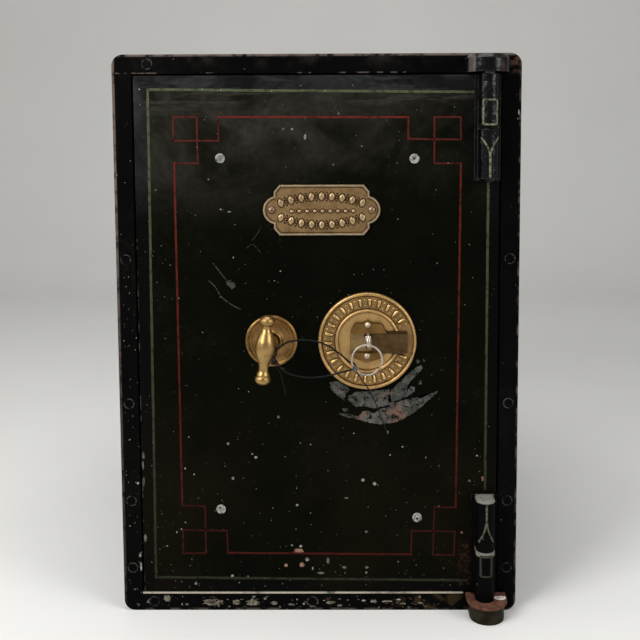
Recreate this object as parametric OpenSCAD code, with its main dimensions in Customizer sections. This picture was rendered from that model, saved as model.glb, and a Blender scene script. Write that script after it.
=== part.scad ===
// Antique fire-resisting floor safe, in millimetres.
// The frame: +X to the viewer's right, +Y into the safe, +Z up.
// The origin is the middle of the footprint, on the floor.
// Modules draw in front coordinates, where y = 0 is the front face of the body,
// and at_front() moves them into the frame.

/* [Body] */
// Width of the body
body_w = 432; // [400:1:480]
// Height of the body
body_h = 610; // [560:1:700]
// Depth of the body, front face to back face
body_d = 430; // [360:1:500]
// Thickness of the bent outer plate
shell_t = 6; // [4:0.5:8]
// Outer radius of the bent corners
corner_r = 12; // [9:0.5:20]
// Width of the front bars round the door
front_bar_w = 20.4; // [18:0.2:24]
// Thickness of the front bars, front to back
front_bar_t = 14; // [13.5:0.1:16]
// Distance from the body's side to the inner edge of the door ledge
ledge_w = 38.5; // [36:0.5:42]
// Thickness of the door ledge behind the front bars
ledge_t = 10; // [6:0.5:12]
// Thickness of the back plate
back_t = 6; // [4:0.5:10]
// Radius of the flush rivets in the front bars
frame_rivet_r = 5.6; // [4:0.1:7]
// Radius of the round-headed rivets of the back plate
back_rivet_r = 7; // [5:0.5:9]

/* [Chamber] */
// Depth of the bolt pocket, from the ledge to the lining
pocket_d = 42; // [41:1:50]
// Thickness of the sheet lining
lining_t = 2.5; // [1.5:0.5:4]
// Thickness of the fire filling at the sides, top and bottom
fill_side = 36; // [36:1:50]
// Thickness of the fire filling at the back
fill_back = 40; // [30:1:60]
// Height of the shelf above the chamber's floor
shelf_up = 262; // [120:1:340]
// Thickness of the shelf
shelf_t = 3; // [2:0.5:5]
// Distance of the shelf's front edge behind the lining's front
shelf_back = 30; // [10:1:120]
// Leg of the shelf's angles
angle_leg = 22; // [16:1:30]
// Thickness of the shelf's angles
angle_t = 3; // [2:0.5:4]

/* [Door] */
// Thickness of the door plate
door_t = 12.7; // [12:0.1:13]
// Gap between the door and the front bars
door_gap = 2; // [1.5:0.1:3]
// Distance of the casing's back from the front face
casing_back = 63; // [61:0.5:64]
// Thickness of the casing sheet
casing_t = 2; // [1.5:0.5:3]
// Gap between the casing and the ledge, at the hinge side, top and bottom
casing_gap = 2.5; // [2:0.1:5]
// Gap between the casing and the ledge at the bolt side, where it swings past
casing_swing_gap = 9.5; // [9:0.1:14]
// Thickness of the door's fire filling
door_fill_t = 12; // [8:1:13]
// Radius of the four plugs in the door plate
plug_r = 5.2; // [4:0.1:7]

/* [Hinges] */
// Distance of the hinge axis from the body's right side
hinge_in = 36; // [33:0.1:36]
// Distance of the hinge axis in front of the front face
hinge_out = 14; // [14:0.1:16]
// Radius of the hinge barrels
barrel_r = 10.4; // [10:0.1:12.6]
// Radius of the hinge pins
pin_r = 6; // [4:0.5:7]
// Length of each hinge barrel
barrel_len = 111.6; // [90:0.1:130]
// Distance of the barrel's groove from its bracket end
groove_at = 55; // [45:1:65]
// Depth of the barrel's groove
groove_d = 2.2; // [1:0.1:3]
// Thickness of the hinge leaf
leaf_t = 5; // [3:0.5:6]
// Radius of the brackets' round noses
bracket_r = 21.8; // [20:0.1:25]
// Height of each bracket
bracket_h = 20.5; // [18:0.5:22]
// Length of the pin inside the barrel
pin_in = 42; // [30:1:50]
// Height of the gap between the lower bracket and the barrel on it
bearing_gap = 0.4; // [0.2:0.1:1]

/* [Handle] */
// Distance of the handle's axis to the left of the centre
handle_x = -50.1; // [-60:1:-45]
// Height of the handle's axis
handle_z = 303.5; // [295:0.5:310]
// Radius of the handle's rose
rose_r = 28.3; // [24:0.1:32]
// Distance of the grip's centre in front of the front face
grip_out = 57; // [50:1:70]
// Lean of the grip from upright
grip_lean = 5.1; // [0:0.1:8]
// Radius of the spindle
spindle_r = 6; // [5:0.5:7]
// Radius of the neck behind the grip
neck_r = 5.5; // [5:0.1:7]
// Turn of the handle from open to bolted
handle_turn = 90; // [60:1:90]

/* [Bolt work] */
// Radius of the round bolts
bolt_r = 9.5; // [7:0.5:10]
// Travel of the bolts
bolt_throw = 18; // [16:0.5:19]
// Height of the lower and upper bolts
bolt_z = [150, 460]; // [130:1:480]
// Distance of the bolts' axis behind the front face
bolt_y = 36.5; // [36:0.5:37]
// Thickness of the bolt bar
bar_t = 7; // [5:0.5:7]
// Width of the bolt bar's upright
bar_w = 28; // [20:1:34]
// Radius of the crank pin
crank_pin_r = 4; // [3:0.5:5]

/* [Lock and key] */
// Distance of the escutcheon's centre to the right of the centre
lock_x = 53.2; // [50:0.1:58]
// Height of the escutcheon's centre
lock_z = 303.4; // [298:0.1:310]
// Radius of the escutcheon
escutcheon_r = 53; // [50:0.5:56]
// Height of the key's axis above the escutcheon's centre
key_up = 5.5; // [3:0.1:7]
// Radius of the key's shank
shank_r = 2.75; // [2:0.05:3]
// Reach of the key behind the front face
key_reach = 37; // [36:0.5:39]
// Distance of the key bit's edge from the key's axis
bit_reach = 13; // [11:0.5:14]
// Thickness of the key's bit
bit_t = 3; // [2:0.1:3.2]
// Radius of the bow's rounded ends
bow_r = 8; // [7:0.1:10]
// Thickness of the bow
bow_t = 4; // [3:0.1:5]
// Radius of the split ring, to the middle of its wire
ring_r = 16; // [12:0.5:20]
// Radius of the split ring's wire
ring_wire_r = 1; // [0.8:0.1:1.4]
// Width of the keyhole cover
cover_w = 37; // [34:0.5:40]
// Height of the keyhole cover
cover_h = 20.4; // [18:0.1:21]
// Travel of the lock's bolt
lock_throw = 9; // [7:0.5:9]

/* [Name plate] */
// Width of the plate between its ears' ends
plate_w = 125; // [110:1:140]
// Height of the plate
plate_h = 54; // [44:1:60]
// Distance of the plate's centre to the right of the door's centre
plate_x = 4.8; // [0:0.1:10]
// Height of the plate's centre
plate_z = 445; // [430:1:460]
// Thickness of the plate's field
plate_t = 1.6; // [1:0.1:3]
// Height of the plate's raised border above its field
plate_rim = 1; // [0.5:0.1:2]

/* [Cable ties] */
// Width of the strap
strap_w = 2.4; // [1.5:0.1:3]
// Thickness of the strap
strap_t = 1.6; // [1:0.1:1.8]

/* [Hidden] */

// Roundness of turned work, and of small parts
$fn = 64;
small_fn = 32;
// Play between pieces that turn or slide in one another
run_fit = 0.05;
// Gap between pieces that lie side by side without touching
side_gap = 0.3;
// Overshoot of a cutting body past the face that it cuts
cut = 1;

// Places worked out from the driving sizes
half_w = body_w / 2;
inner_w = half_w - shell_t;
inner_r = corner_r - shell_t;
ledge_back = front_bar_t + ledge_t;
ledge_edge = half_w - ledge_w;
lining_front = ledge_back + pocket_d;
lining_x = inner_w - fill_side;
lining_z0 = shell_t + fill_side;
lining_z1 = body_h - shell_t - fill_side;
lining_back = body_d - back_t - fill_back;
shelf_z = lining_z0 + lining_t + shelf_up;
shelf_y0 = lining_front + shelf_back;
shelf_y1 = lining_back - lining_t - side_gap;
door_x = half_w - front_bar_w - door_gap;
door_z0 = front_bar_w + door_gap;
door_z1 = body_h - front_bar_w - door_gap;
casing_x0 = -(ledge_edge - casing_swing_gap);
casing_x1 = ledge_edge - casing_gap;
casing_z0 = ledge_w + casing_gap;
casing_z1 = body_h - casing_z0;
door_fill_y1 = casing_back - casing_t - side_gap;
door_fill_y0 = door_fill_y1 - door_fill_t;
hinge_x = half_w - hinge_in;
leaf_wing = 3.6;
leaf_x0 = hinge_x - barrel_r - leaf_wing;
bar_y0 = bolt_y - bar_t / 2;
bar_y1 = bolt_y + bar_t / 2;

inner_h = body_h - 2 * shell_t;
back_rivet_in = 15;
// The ledges run into their bars by this much
ledge_bite = 4;
frame_rivet_len = 10;
jamb_rivet_z = [49, 125, 234, 392];
bottom_rivet_x = [-183, -8];
top_rivet_x = [-178.5];
shelf_rivet_r = 3;
shelf_rivet_in = 25;
shelf_rivet_drop = angle_leg * 0.6;
shelf_lip = 12;
bracket_chamfer = 3.5;
// How far each bracket's nose sits to the side of the pin
upper_nose = -1.8;
lower_nose = 2.4;
// How far the upper bracket stops below the body's top
upper_drop = 2.4;
// The lower bracket's lip, and how far the body under it draws in
lip_h = 2.5;
lip_slope = 4;
lip_in = 3.2;
pin_cover = 4;
barrel_chamfer = 3;
leaf_rivet_r = 3.5;
leaf_rivet_in = 24;
leaf_rivet_x = 6;
leaf_rivet_grip = 3;
bevel_w = 8;
bevel_t = 4;
fixing_depth = 6;
casing_screw_r = 3;
casing_screw_in = 8;
dog_z = [175, 435];
dog_h = 40;
dog_root = 10;
dog_out = 11;
dog_y0 = 30;
dog_y1 = 46;

// The bolt bar's upright and the crank
bar_in = 61;
bar_over = 25;
bolt_show = 3;
bolt_chamfer = 1.2;
bar_x1 = casing_x0 + bar_in;
bar_x0 = bar_x1 - bar_w;
bolt_x0 = casing_x0 - bolt_show;
bolt_x1 = bar_x1 - 4;
bolt_rivet_in = 6;
guide_end_gap = 1;
crank_half = handle_turn / 2;
crank_r = bolt_throw / 2 / sin(crank_half);
slot_play = 0.6;
crank_gap = 4;
crank_t = 6;
crank_hub_wall = 6;
crank_pin_wall = 3.5;
crank_web = 2 * crank_pin_r + 6;
crank_y0 = door_t + crank_gap;
crank_y1 = crank_y0 + crank_t;
nut_t = 5;
spindle_end = crank_y1 + nut_t;
pin_x = handle_x + crank_r * sin(crank_half);
pin_z = handle_z - crank_r * cos(crank_half);
// How far the lock's case reaches above and below the escutcheon's middle, and the arm's gap over it
case_above = 48.5;
case_below = 41.5;
arm_gap = 6.1;
arm_z0 = lock_z + case_above + arm_gap;
arm_h = 26;
arm_guide_x = handle_x + 40;
arm_guide_in = 4;
arm_x1 = lock_x + 32;
tab_w = 26;
tab_margin = 7;
tab_z0 = handle_z - crank_r - crank_pin_r - tab_margin;
guide_wall = 5;
bolt_rivet_r = 2.5;
bush_r = 9;
spindle_out = 14;
neck_back = 4.7;
grip_rise = 6.5;
grip_side = -2.5;

// The lock behind the escutcheon
key_x = lock_x + 0.5;
key_z = lock_z + key_up;
case_left = 45;
case_right = 44;
case_x0 = lock_x - case_left;
case_x1 = lock_x + case_right;
case_z0 = lock_z - case_below;
case_z1 = lock_z + case_above;
case_t = 2.5;
case_y1 = bar_y1 + 3;
cap_y0 = case_y1 - case_t;
sweep_r = bit_reach + 0.8;
barrel_lock_r = 9;
barrel_y0 = door_t + side_gap;
barrel_y1 = door_t + 6.5;
lever_count = 5;
lever_t = 1.8;
lever_pitch = 2.2;
lever_y0 = barrel_y1 + side_gap;
spring_in = 6;
lever_x0 = case_x0 + 6;
lever_x1 = key_x + sweep_r + 6;
lever_z0 = key_z - sweep_r - 6.5;
lever_z1 = key_z + sweep_r + 6.5;
pivot_x = lever_x0 + 8;
pivot_z = lever_z0 + 7;
pivot_r = 3;
lock_bolt_w = 46;
lock_bolt_z0 = case_z0 + case_t + 4;
lock_bolt_z1 = case_z1 - case_t - lock_throw - 1.5;
stump_w = 10;
stump_z1 = arm_z0 - 2;
notch_play = 0.6;
lock_screw_r = 2;
lock_screw_in = 6;

// The escutcheon's levels, counted forward from the door's face
band_out = 3;
bead_out = 5.5;
floor_out = 4;
flange_out = 5.5;
keeper_out = 9;
cover_out = 10;
channel_z = lock_z - 1.3;
flange_lip = 1.6;
channel_h = cover_h + 2 * side_gap;
cover_x0 = key_x + 5.3;
screw_dome_r = 3.4;
keeper_screw_r = 1.8;
keeper_screw_places = [[lock_x + 0.3, lock_z + 18.6], [lock_x - 0.5, lock_z - 15]];
rim_bead_w = 4;
inner_bead_w = 4;
dish_r = 31;
channel_cut = cover_h + 2 * flange_lip + 4 * side_gap;
plate_border = 2.6;
// Half the plate's straight top, and its cut corners' width and height
plate_mid = plate_w / 2 - 17.7;
plate_cut = [6.1, 7.3];
// How far a cut corner's ends draw in, as shares of the outline's inset
cut_draw = [0.47, 0.36];
ear_r = plate_h * 0.28;
name_rivet_in = 9.1;
name_rivet_r = 2.4;
keyhole_r = 3.8;
keyhole_w = 4.2;

// The key, its ring and the ties
bow_y = -24;
bit_len = 16;
key_collar = 10.3;
bow_half = 4;
// The key's two collars, as [height over the shank, front end, back end] from the collar's place
key_collars = [[1.4, 3.2, 1.6], [0.9, 1.8, 0]];
// The slots in the bit's edge: the first one's place, width, pitch and depth
ward_at = 2.4;
ward_w = 1.8;
ward_pitch = 4.6;
ward_depth = 2.5;
bow_hole_r = bow_r - 1.6;
ring_y = bow_y;
ring_play = 0.7;
ring_top = key_z - bow_hole_r + ring_wire_r + ring_play;
ring_z = ring_top - ring_r;
// The ring hangs a little to the left of the bow
ring_x = key_x - 1.5;
head_w = 6;
head_h = 4.2;
head_t = 3.4;
tail_t = 1.1;
key_head = [40.1, -27.4, 280];
neck_head = [handle_x + 5.5, -38, handle_z - 14.1];
// The neck tie hangs loose on the neck: its middle, its inner radius and its place forward
neck_ring = [handle_x - 0.6, handle_z - 2.4];
neck_ring_r = neck_r + 2.62;
neck_tie_y = -38;
key_tie_out = [
    [40.8, -24.3, 280.9], [39.6, -22.4, 283], [37.4, -20.9, 284.5], [33.5, -20.8, 285.6],
    [28.4, -22.4, 290.3], [21, -25, 297.3], [12.2, -27.6, 304], [3.5, -29.6, 308.3], [-5.3, -31.2, 310.9],
    [-14, -32.4, 312], [-22.8, -33.2, 311.4], [-30.1, -33.8, 310], [-35.9, -34.4, 307]
];
// The key tie's way through the neck tie, from behind it to in front of it, counted from the neck's axis
key_tie_link = [for (p = [
    [9.8, -35, 0.5], [6.6, -35.4, -1.6], [6.2, -36.6, -3.4], [5.6, -38.4, -5], [5.3, -40.5, -6.6],
    [6.3, -41.4, -9.4], [9, -41.6, -13.2]
]) [handle_x + p.x, p.y, handle_z + p.z]];
key_tie_home = [
    [-37.1, -41.4, 284.3], [-29.9, -40.6, 278.8], [-19.8, -39.2, 275.2], [-8.2, -37.4, 273.3],
    [3.4, -35.4, 273.3], [15.1, -33, 274.7], [25.4, -30.4, 276.6], [34.2, -28.2, 278.3], [36.9, -27.8, 279.2]
];
key_tail_points = [
    [41.2, -27.6, 277.7], [42.8, -28, 274.4], [48.2, -28.4, 266.3], [54.8, -28.2, 256.4], [60.8, -27.4, 244],
    [65.2, -26, 231.4], [69.7, -24.4, 220.2], [74.3, -22, 206.4]
];
neck_tail_points = [
    [-43, -38.2, 287.1], [-41, -38.8, 283], [-38.2, -39.2, 278.6], [-36.5, -39.5, 273], [-34.7, -39, 266],
    [-33.5, -38, 258.7]
];

// Points between those given, on a smooth curve through them, n steps to each
function smooth(p, n) = concat([for (i = [0:len(p) - 2], s = [0:n - 1]) curve_point(
    p[max(i - 1, 0)], p[i], p[i + 1], p[min(i + 2, len(p) - 1)], s / n)], [p[len(p) - 1]]);
function curve_point(a, b, c, d, t) =
    b + t * (c - a) / 2 + t * t * (2 * a - 5 * b + 4 * c - d) / 2 + t * t * t * (3 * b - a - 3 * c + d) / 2;

// A rounded bead from radius r1 in to r0, rising from h0 to h1
function bead_points(r0, r1, h0, h1) = [for (a = [0:15:180])
    [(r0 + r1) / 2 + (r1 - r0) / 2 * cos(a), h0 + (h1 - h0) * sin(a)]];

module at_front() { translate([0, -body_d / 2, 0]) children(); }

// A cylinder along +Y from y0 to y1, centred at [x, z]
module rod_y(x, z, r, y0, y1) {
    translate([x, y0, z]) rotate([-90, 0, 0]) cylinder(r = r, h = y1 - y0);
}

// A block given by its lowest and highest corners
module block(lo, hi) { translate(lo) cube(hi - lo); }

// An outline in the X-Z plane, made solid from y0 to y1
module slab_y(y0, y1) {
    translate([0, y1, 0]) rotate([90, 0, 0]) linear_extrude(y1 - y0) children();
}

// A profile of [radius, distance forward] points, turned about the Y axis at [x, z]
module turned_y(x, z, points) {
    translate([x, 0, z]) rotate([90, 0, 0]) rotate_extrude() polygon(points);
}

// A round head of radius r that rises h along +Z from z = 0
module dome(r, h) {
    ball = (r * r + h * h) / (2 * h);
    intersection() {
        translate([0, 0, h - ball]) sphere(ball);
        cylinder(r = r + cut, h = h + cut);
    }
}

// A rectangle with round corners, drawn from its corners
module round_rect(x0, z0, x1, z1, r) {
    translate([x0 + r, z0]) square([x1 - x0 - 2 * r, z1 - z0]);
    translate([x0, z0 + r]) square([x1 - x0, z1 - z0 - 2 * r]);
    for (x = [x0 + r, x1 - r], z = [z0 + r, z1 - r]) translate([x, z]) circle(r);
}

// The whole body's front outline, drawn in by a distance all round
module body_outline(inset = 0) {
    round_rect(-half_w + inset, inset, half_w - inset, body_h - inset, max(corner_r - inset, 1));
}

// Cabinet
module outer_shell() {
    color([0.13, 0.13, 0.14]) at_front() slab_y(front_bar_t, body_d) difference() {
        body_outline();
        body_outline(shell_t);
    }
}

// Places of the back plate's rivets: a row along each edge
back_rivet_places = concat(
    [for (s = [-1, 1], k = [0:4])
        [s * (inner_w - back_rivet_in), shell_t + back_rivet_in + k * (inner_h - 2 * back_rivet_in) / 4]],
    [for (z = [shell_t + back_rivet_in, body_h - shell_t - back_rivet_in], k = [-1:1])
        [k * (inner_w - back_rivet_in) / 2, z]]
);

module back_plate() {
    color([0.12, 0.12, 0.13]) at_front() difference() {
        slab_y(body_d - back_t, body_d) body_outline(shell_t);
        for (p = back_rivet_places) rod_y(p.x, p.y, back_rivet_r / 2, body_d - back_t - cut, body_d + cut);
    }
}

module back_rivets() {
    color([0.14, 0.14, 0.15]) at_front() for (p = back_rivet_places) {
        rod_y(p.x, p.y, back_rivet_r / 2, body_d - back_t, body_d + 0.5);
        translate([p.x, body_d, p.y]) rotate([-90, 0, 0]) dome(back_rivet_r, 3);
    }
}

// Rivet cores of the front bars
module frame_rivet_cores(y0) {
    for (s = [-1, 1], z = jamb_rivet_z)
        rod_y(s * (half_w - front_bar_w / 2), z, frame_rivet_r, y0, frame_rivet_len);
    for (x = bottom_rivet_x) rod_y(x, front_bar_w / 2, frame_rivet_r, y0, frame_rivet_len);
    for (x = top_rivet_x) rod_y(x, body_h - front_bar_w / 2, frame_rivet_r, y0, frame_rivet_len);
}

// One rail with its ledge, drawn for the bottom of the body
module front_rail() {
    slab_y(0, front_bar_t) intersection() {
        body_outline();
        translate([-half_w, 0]) square([body_w, front_bar_w]);
    }
    block([-ledge_edge, front_bar_t - ledge_bite, shell_t], [ledge_edge, ledge_back, front_bar_w]);
    block([-ledge_edge, front_bar_t, shell_t], [ledge_edge, ledge_back, ledge_w]);
}

module front_bottom_rail() {
    color([0.1, 0.1, 0.12]) at_front() difference() {
        front_rail();
        frame_rivet_cores(-cut);
    }
}

module front_top_rail() {
    color([0.1, 0.1, 0.12]) at_front() difference() {
        translate([0, 0, body_h]) mirror([0, 0, 1]) front_rail();
        frame_rivet_cores(-cut);
    }
}

// One jamb with its ledge, drawn for the right side
module jamb() {
    jamb_z0 = shell_t + inner_r;
    block([half_w - front_bar_w, 0, front_bar_w], [half_w, front_bar_t, body_h - front_bar_w]);
    block(
        [half_w - front_bar_w, front_bar_t - ledge_bite, front_bar_w],
        [inner_w, ledge_back, body_h - front_bar_w]
    );
    block([ledge_edge, front_bar_t, jamb_z0], [inner_w, ledge_back, body_h - jamb_z0]);
}

module front_right_jamb() {
    color([0.1, 0.1, 0.12]) at_front() difference() {
        jamb();
        frame_rivet_cores(-cut);
    }
}

module front_left_jamb() {
    color([0.1, 0.1, 0.12]) at_front() difference() {
        mirror([1, 0, 0]) jamb();
        frame_rivet_cores(-cut);
    }
}

module frame_rivets() { color([0.16, 0.16, 0.17]) at_front() frame_rivet_cores(-0.3); }

// Places of the shelf rivets along the depth
shelf_rivet_y = [
    shelf_y0 + shelf_rivet_in, (shelf_y0 + shelf_y1) / 2, shelf_y1 - shelf_rivet_in
];

module shelf_rivet_cores(r) {
    for (s = [-1, 1], y = shelf_rivet_y)
        translate([s * (lining_x - lining_t - angle_t - cut), y, shelf_z - shelf_rivet_drop])
            rotate([0, 90 * s, 0]) cylinder(r = r, h = lining_t + angle_t + 2 * cut);
}

module inner_lining() {
    color([0.62, 0.6, 0.55]) at_front() difference() {
        union() {
            slab_y(lining_front, lining_front + lining_t) body_outline(shell_t + side_gap);
            block([-lining_x, lining_front, lining_z0], [lining_x, lining_back, lining_z1]);
        }
        block(
            [-lining_x + lining_t, lining_front - cut, lining_z0 + lining_t],
            [lining_x - lining_t, lining_back - lining_t, lining_z1 - lining_t]
        );
        shelf_rivet_cores(shelf_rivet_r);
    }
}

module fire_filling() {
    fill_y0 = lining_front + lining_t + side_gap;
    color([0.75, 0.72, 0.65]) at_front() difference() {
        slab_y(fill_y0, body_d - back_t - side_gap) body_outline(shell_t + side_gap);
        block(
            [-lining_x - side_gap, fill_y0 - cut, lining_z0 - side_gap],
            [lining_x + side_gap, lining_back + side_gap, lining_z1 + side_gap]
        );
    }
}

module shelf() {
    shelf_x = lining_x - lining_t - side_gap;
    color([0.5, 0.49, 0.46]) at_front() {
        block([-shelf_x, shelf_y0, shelf_z], [shelf_x, shelf_y1, shelf_z + shelf_t]);
        block([-shelf_x, shelf_y0, shelf_z - shelf_lip], [shelf_x, shelf_y0 + shelf_t, shelf_z + shelf_t]);
    }
}

// One angle under the shelf, drawn for the right side
module shelf_angle() {
    x1 = lining_x - lining_t;
    y0 = shelf_y0 + shelf_t + side_gap;
    difference() {
        union() {
            block([x1 - angle_leg, y0, shelf_z - angle_t], [x1, shelf_y1, shelf_z]);
            block([x1 - angle_t, y0, shelf_z - angle_leg], [x1, shelf_y1, shelf_z]);
        }
        shelf_rivet_cores(shelf_rivet_r);
    }
}

module shelf_angles() {
    color([0.45, 0.44, 0.42]) at_front() {
        shelf_angle();
        mirror([1, 0, 0]) shelf_angle();
    }
}

module shelf_rivets() {
    x1 = lining_x - lining_t - angle_t;
    color([0.55, 0.54, 0.5]) at_front() for (s = [-1, 1], y = shelf_rivet_y)
        translate([s * x1, y, shelf_z - shelf_rivet_drop]) rotate([0, 90 * s, 0]) {
            translate([0, 0, -0.01]) cylinder(r = shelf_rivet_r, h = lining_t + angle_t);
            rotate([180, 0, 0]) dome(shelf_rivet_r * 1.7, 2);
        }
}

// The brackets' outer edges from the bearing face outward, as distance from the nose's middle and height
upper_bracket_edge = [
    [bracket_r, 0], [bracket_r, bracket_h - upper_drop - bracket_chamfer],
    [bracket_r - bracket_chamfer, bracket_h - upper_drop]
];
lower_bracket_edge = [
    [bracket_r, 0], [bracket_r, lip_h],
    [bracket_r - lip_in, lip_h + lip_slope], [bracket_r - lip_in, bracket_h]
];

// A hinge bracket, drawn about the hinge axis with its bearing face at z = 0
module hinge_bracket(edge, nose) {
    last = len(edge) - 1;
    top = edge[last].y;
    difference() {
        translate([nose, 0, 0]) {
            rotate_extrude() polygon(concat([[0, 0]], edge, [[0, top]]));
            slab_y(0, hinge_out) polygon(concat(edge, [for (i = [last:-1:0]) [-edge[i].x, edge[i].y]]));
        }
        translate([0, 0, -cut]) cylinder(r = pin_r, h = top - pin_cover + cut);
        block([-2 * bracket_r, hinge_out, -cut], [2 * bracket_r, 2 * bracket_r, bracket_h + cut]);
    }
}

module at_hinge(z) { translate([hinge_x, -hinge_out, z]) children(); }

module upper_hinge_bracket() {
    color([0.3, 0.2, 0.16]) at_front() at_hinge(body_h - bracket_h)
        hinge_bracket(upper_bracket_edge, upper_nose);
}

module lower_hinge_bracket() {
    color([0.36, 0.23, 0.17]) at_front() at_hinge(bracket_h) mirror([0, 0, 1])
        hinge_bracket(lower_bracket_edge, lower_nose);
}

module upper_hinge_pin() {
    color([0.5, 0.5, 0.5]) at_front() at_hinge(door_z1 - pin_in)
        cylinder(r = pin_r, h = body_h - upper_drop - pin_cover - door_z1 + pin_in);
}

module lower_hinge_pin() {
    color([0.5, 0.5, 0.5]) at_front() at_hinge(pin_cover)
        cylinder(r = pin_r, h = bracket_h + bearing_gap + pin_in - pin_cover);
}

// Door
// Places of the screws that hold the casing on the door plate
casing_screw_places = [
    [casing_x0 + casing_screw_in, casing_z0 + casing_screw_in], [0, casing_z0 + casing_screw_in],
    [casing_x1 - casing_screw_in, casing_z0 + casing_screw_in], [casing_x1 - casing_screw_in, body_h / 2],
    [casing_x0 + casing_screw_in, casing_z1 - casing_screw_in], [0, casing_z1 - casing_screw_in],
    [casing_x1 - casing_screw_in, casing_z1 - casing_screw_in], [casing_x0 + casing_screw_in, body_h / 2]
];

module casing_screw_cores(r, y0, y1) { for (p = casing_screw_places) rod_y(p.x, p.y, r, y0, y1); }

// Places of the plugs, set out by eye as on the old door
plug_places = [[-102.9, 500.4], [103.4, 499.3], [-107.5, 115.5], [107.4, 105.9]];

module plug_cores(y0, y1) { for (p = plug_places) rod_y(p.x, p.y, plug_r, y0, y1); }

// Places of the leaf rivets, from the upper and lower hinges' outer ends
leaf_rivet_z = [
    door_z1 - leaf_rivet_in, door_z1 - barrel_len + leaf_rivet_in,
    door_z0 + leaf_rivet_in, door_z0 + barrel_len - leaf_rivet_in
];

module leaf_rivet_cores(y0, y1) {
    for (z = leaf_rivet_z) rod_y(hinge_x - leaf_rivet_x, z, leaf_rivet_r, y0, y1);
}

module lock_screw_cores(y0, y1) {
    for (x = [case_x0 + lock_screw_in, case_x1 - lock_screw_in])
        for (z = [case_z0 + lock_screw_in, case_z1 - lock_screw_in])
            rod_y(x, z, lock_screw_r, y0, y1);
}

module keeper_screw_cores(y0, y1) { for (p = keeper_screw_places) rod_y(p.x, p.y, keeper_screw_r, y0, y1); }

// The keyhole: a round hole for the shank and a slot below it for the bit
module keyhole(y0, y1) {
    rod_y(key_x, key_z, keyhole_r, y0, y1);
    block([key_x - keyhole_w / 2, y0, key_z - sweep_r], [key_x + keyhole_w / 2, y1, key_z]);
}

module door_plate() {
    color([0.07, 0.075, 0.05]) at_front() difference() {
        block([-door_x, 0, door_z0], [door_x, door_t, door_z1]);
        translate([0, 0, door_z0 - cut]) linear_extrude(door_z1 - door_z0 + 2 * cut) polygon([
            [door_x - bevel_w, door_t], [door_x, door_t - bevel_t], [door_x + cut, door_t - bevel_t],
            [door_x + cut, door_t + cut], [door_x - bevel_w, door_t + cut]
        ]);
        plug_cores(-cut, door_t + cut);
        rod_y(handle_x, handle_z, bush_r, -cut, door_t + cut);
        keyhole(-cut, door_t + cut);
        leaf_rivet_cores(-cut, door_t + cut);
        name_rivet_cores(-cut, fixing_depth);
        keeper_screw_cores(-cut, fixing_depth);
        casing_screw_cores(casing_screw_r, door_t - fixing_depth, door_t + cut);
        lock_screw_cores(door_t - fixing_depth, door_t + cut);
    }
}

module door_casing() {
    color([0.3, 0.3, 0.29]) at_front() difference() {
        block([casing_x0, door_t, casing_z0], [casing_x1, casing_back, casing_z1]);
        block(
            [casing_x0 + casing_t, door_t - cut, casing_z0 + casing_t],
            [casing_x1 - casing_t, casing_back - casing_t, casing_z1 - casing_t]
        );
        for (z = bolt_z) translate([casing_x0 - cut, bolt_y, z])
            rotate([0, 90, 0]) cylinder(r = bolt_r + 0.5, h = casing_t + 2 * cut);
        for (z = dog_z) dog_nose(z);
        casing_screw_cores(casing_screw_r, casing_back - casing_t - cut, casing_back + cut);
    }
}

module casing_screws() {
    color([0.5, 0.5, 0.48]) at_front() for (p = casing_screw_places) {
        rod_y(p.x, p.y, casing_screw_r, door_t - fixing_depth, casing_back + 0.5);
        translate([p.x, casing_back, p.y]) rotate([-90, 0, 0]) dome(casing_screw_r * 1.8, 2.2);
    }
}

module door_filling() {
    color([0.75, 0.72, 0.65]) at_front() difference() {
        block(
            [casing_x0 + casing_t + side_gap, door_fill_y0, casing_z0 + casing_t + side_gap],
            [casing_x1 - casing_t - side_gap, door_fill_y1, casing_z1 - casing_t - side_gap]
        );
        casing_screw_cores(casing_screw_r + side_gap, door_fill_y0 - cut, door_fill_y1 + cut);
    }
}

module door_plugs() { color([0.5, 0.5, 0.48]) at_front() plug_cores(-0.2, door_t); }

// A hinge leaf with its barrel, drawn about the hinge axis with its bracket end at z = 0
module hinge_leaf(bearing) {
    flat = hinge_out - leaf_t;
    difference() {
        union() {
            translate([0, 0, -bearing]) linear_extrude(barrel_len + bearing) union() {
                circle(barrel_r);
                translate([-barrel_r, 0]) square([2 * barrel_r, flat + 1]);
            }
            block([leaf_x0 - hinge_x, flat, 0], [door_x - hinge_x, hinge_out, barrel_len]);
        }
        translate([0, 0, -bearing - cut]) cylinder(r = pin_r + run_fit, h = bearing + pin_in + 2 * cut);
        ring_cut([
            [barrel_r - groove_d, groove_at], [barrel_r + cut, groove_at + groove_d + cut],
            [barrel_r + cut, groove_at - groove_d - cut]
        ]);
        ring_cut([
            [barrel_r - barrel_chamfer, barrel_len + 0.01], [barrel_r + cut, barrel_len + 0.01],
            [barrel_r + cut, barrel_len - barrel_chamfer - cut]
        ]);
        for (z = [leaf_rivet_in, barrel_len - leaf_rivet_in])
            rod_y(-leaf_rivet_x, z, leaf_rivet_r, hinge_out - leaf_rivet_grip, hinge_out + cut);
    }
}

// A cut round the barrel's front half that runs on along its flat sides
module ring_cut(points) {
    rotate([0, 0, 180]) rotate_extrude(angle = 180) polygon(points);
    for (s = [0, 1]) mirror([s, 0, 0]) slab_y(-0.01, hinge_out - leaf_t - 0.5) polygon(points);
}

module upper_hinge_leaf() {
    color([0.09, 0.09, 0.07]) at_front() at_hinge(door_z1) mirror([0, 0, 1]) hinge_leaf(0);
}

module lower_hinge_leaf() {
    color([0.09, 0.09, 0.07]) at_front() at_hinge(door_z0)
        hinge_leaf(door_z0 - bracket_h - bearing_gap);
}

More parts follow.
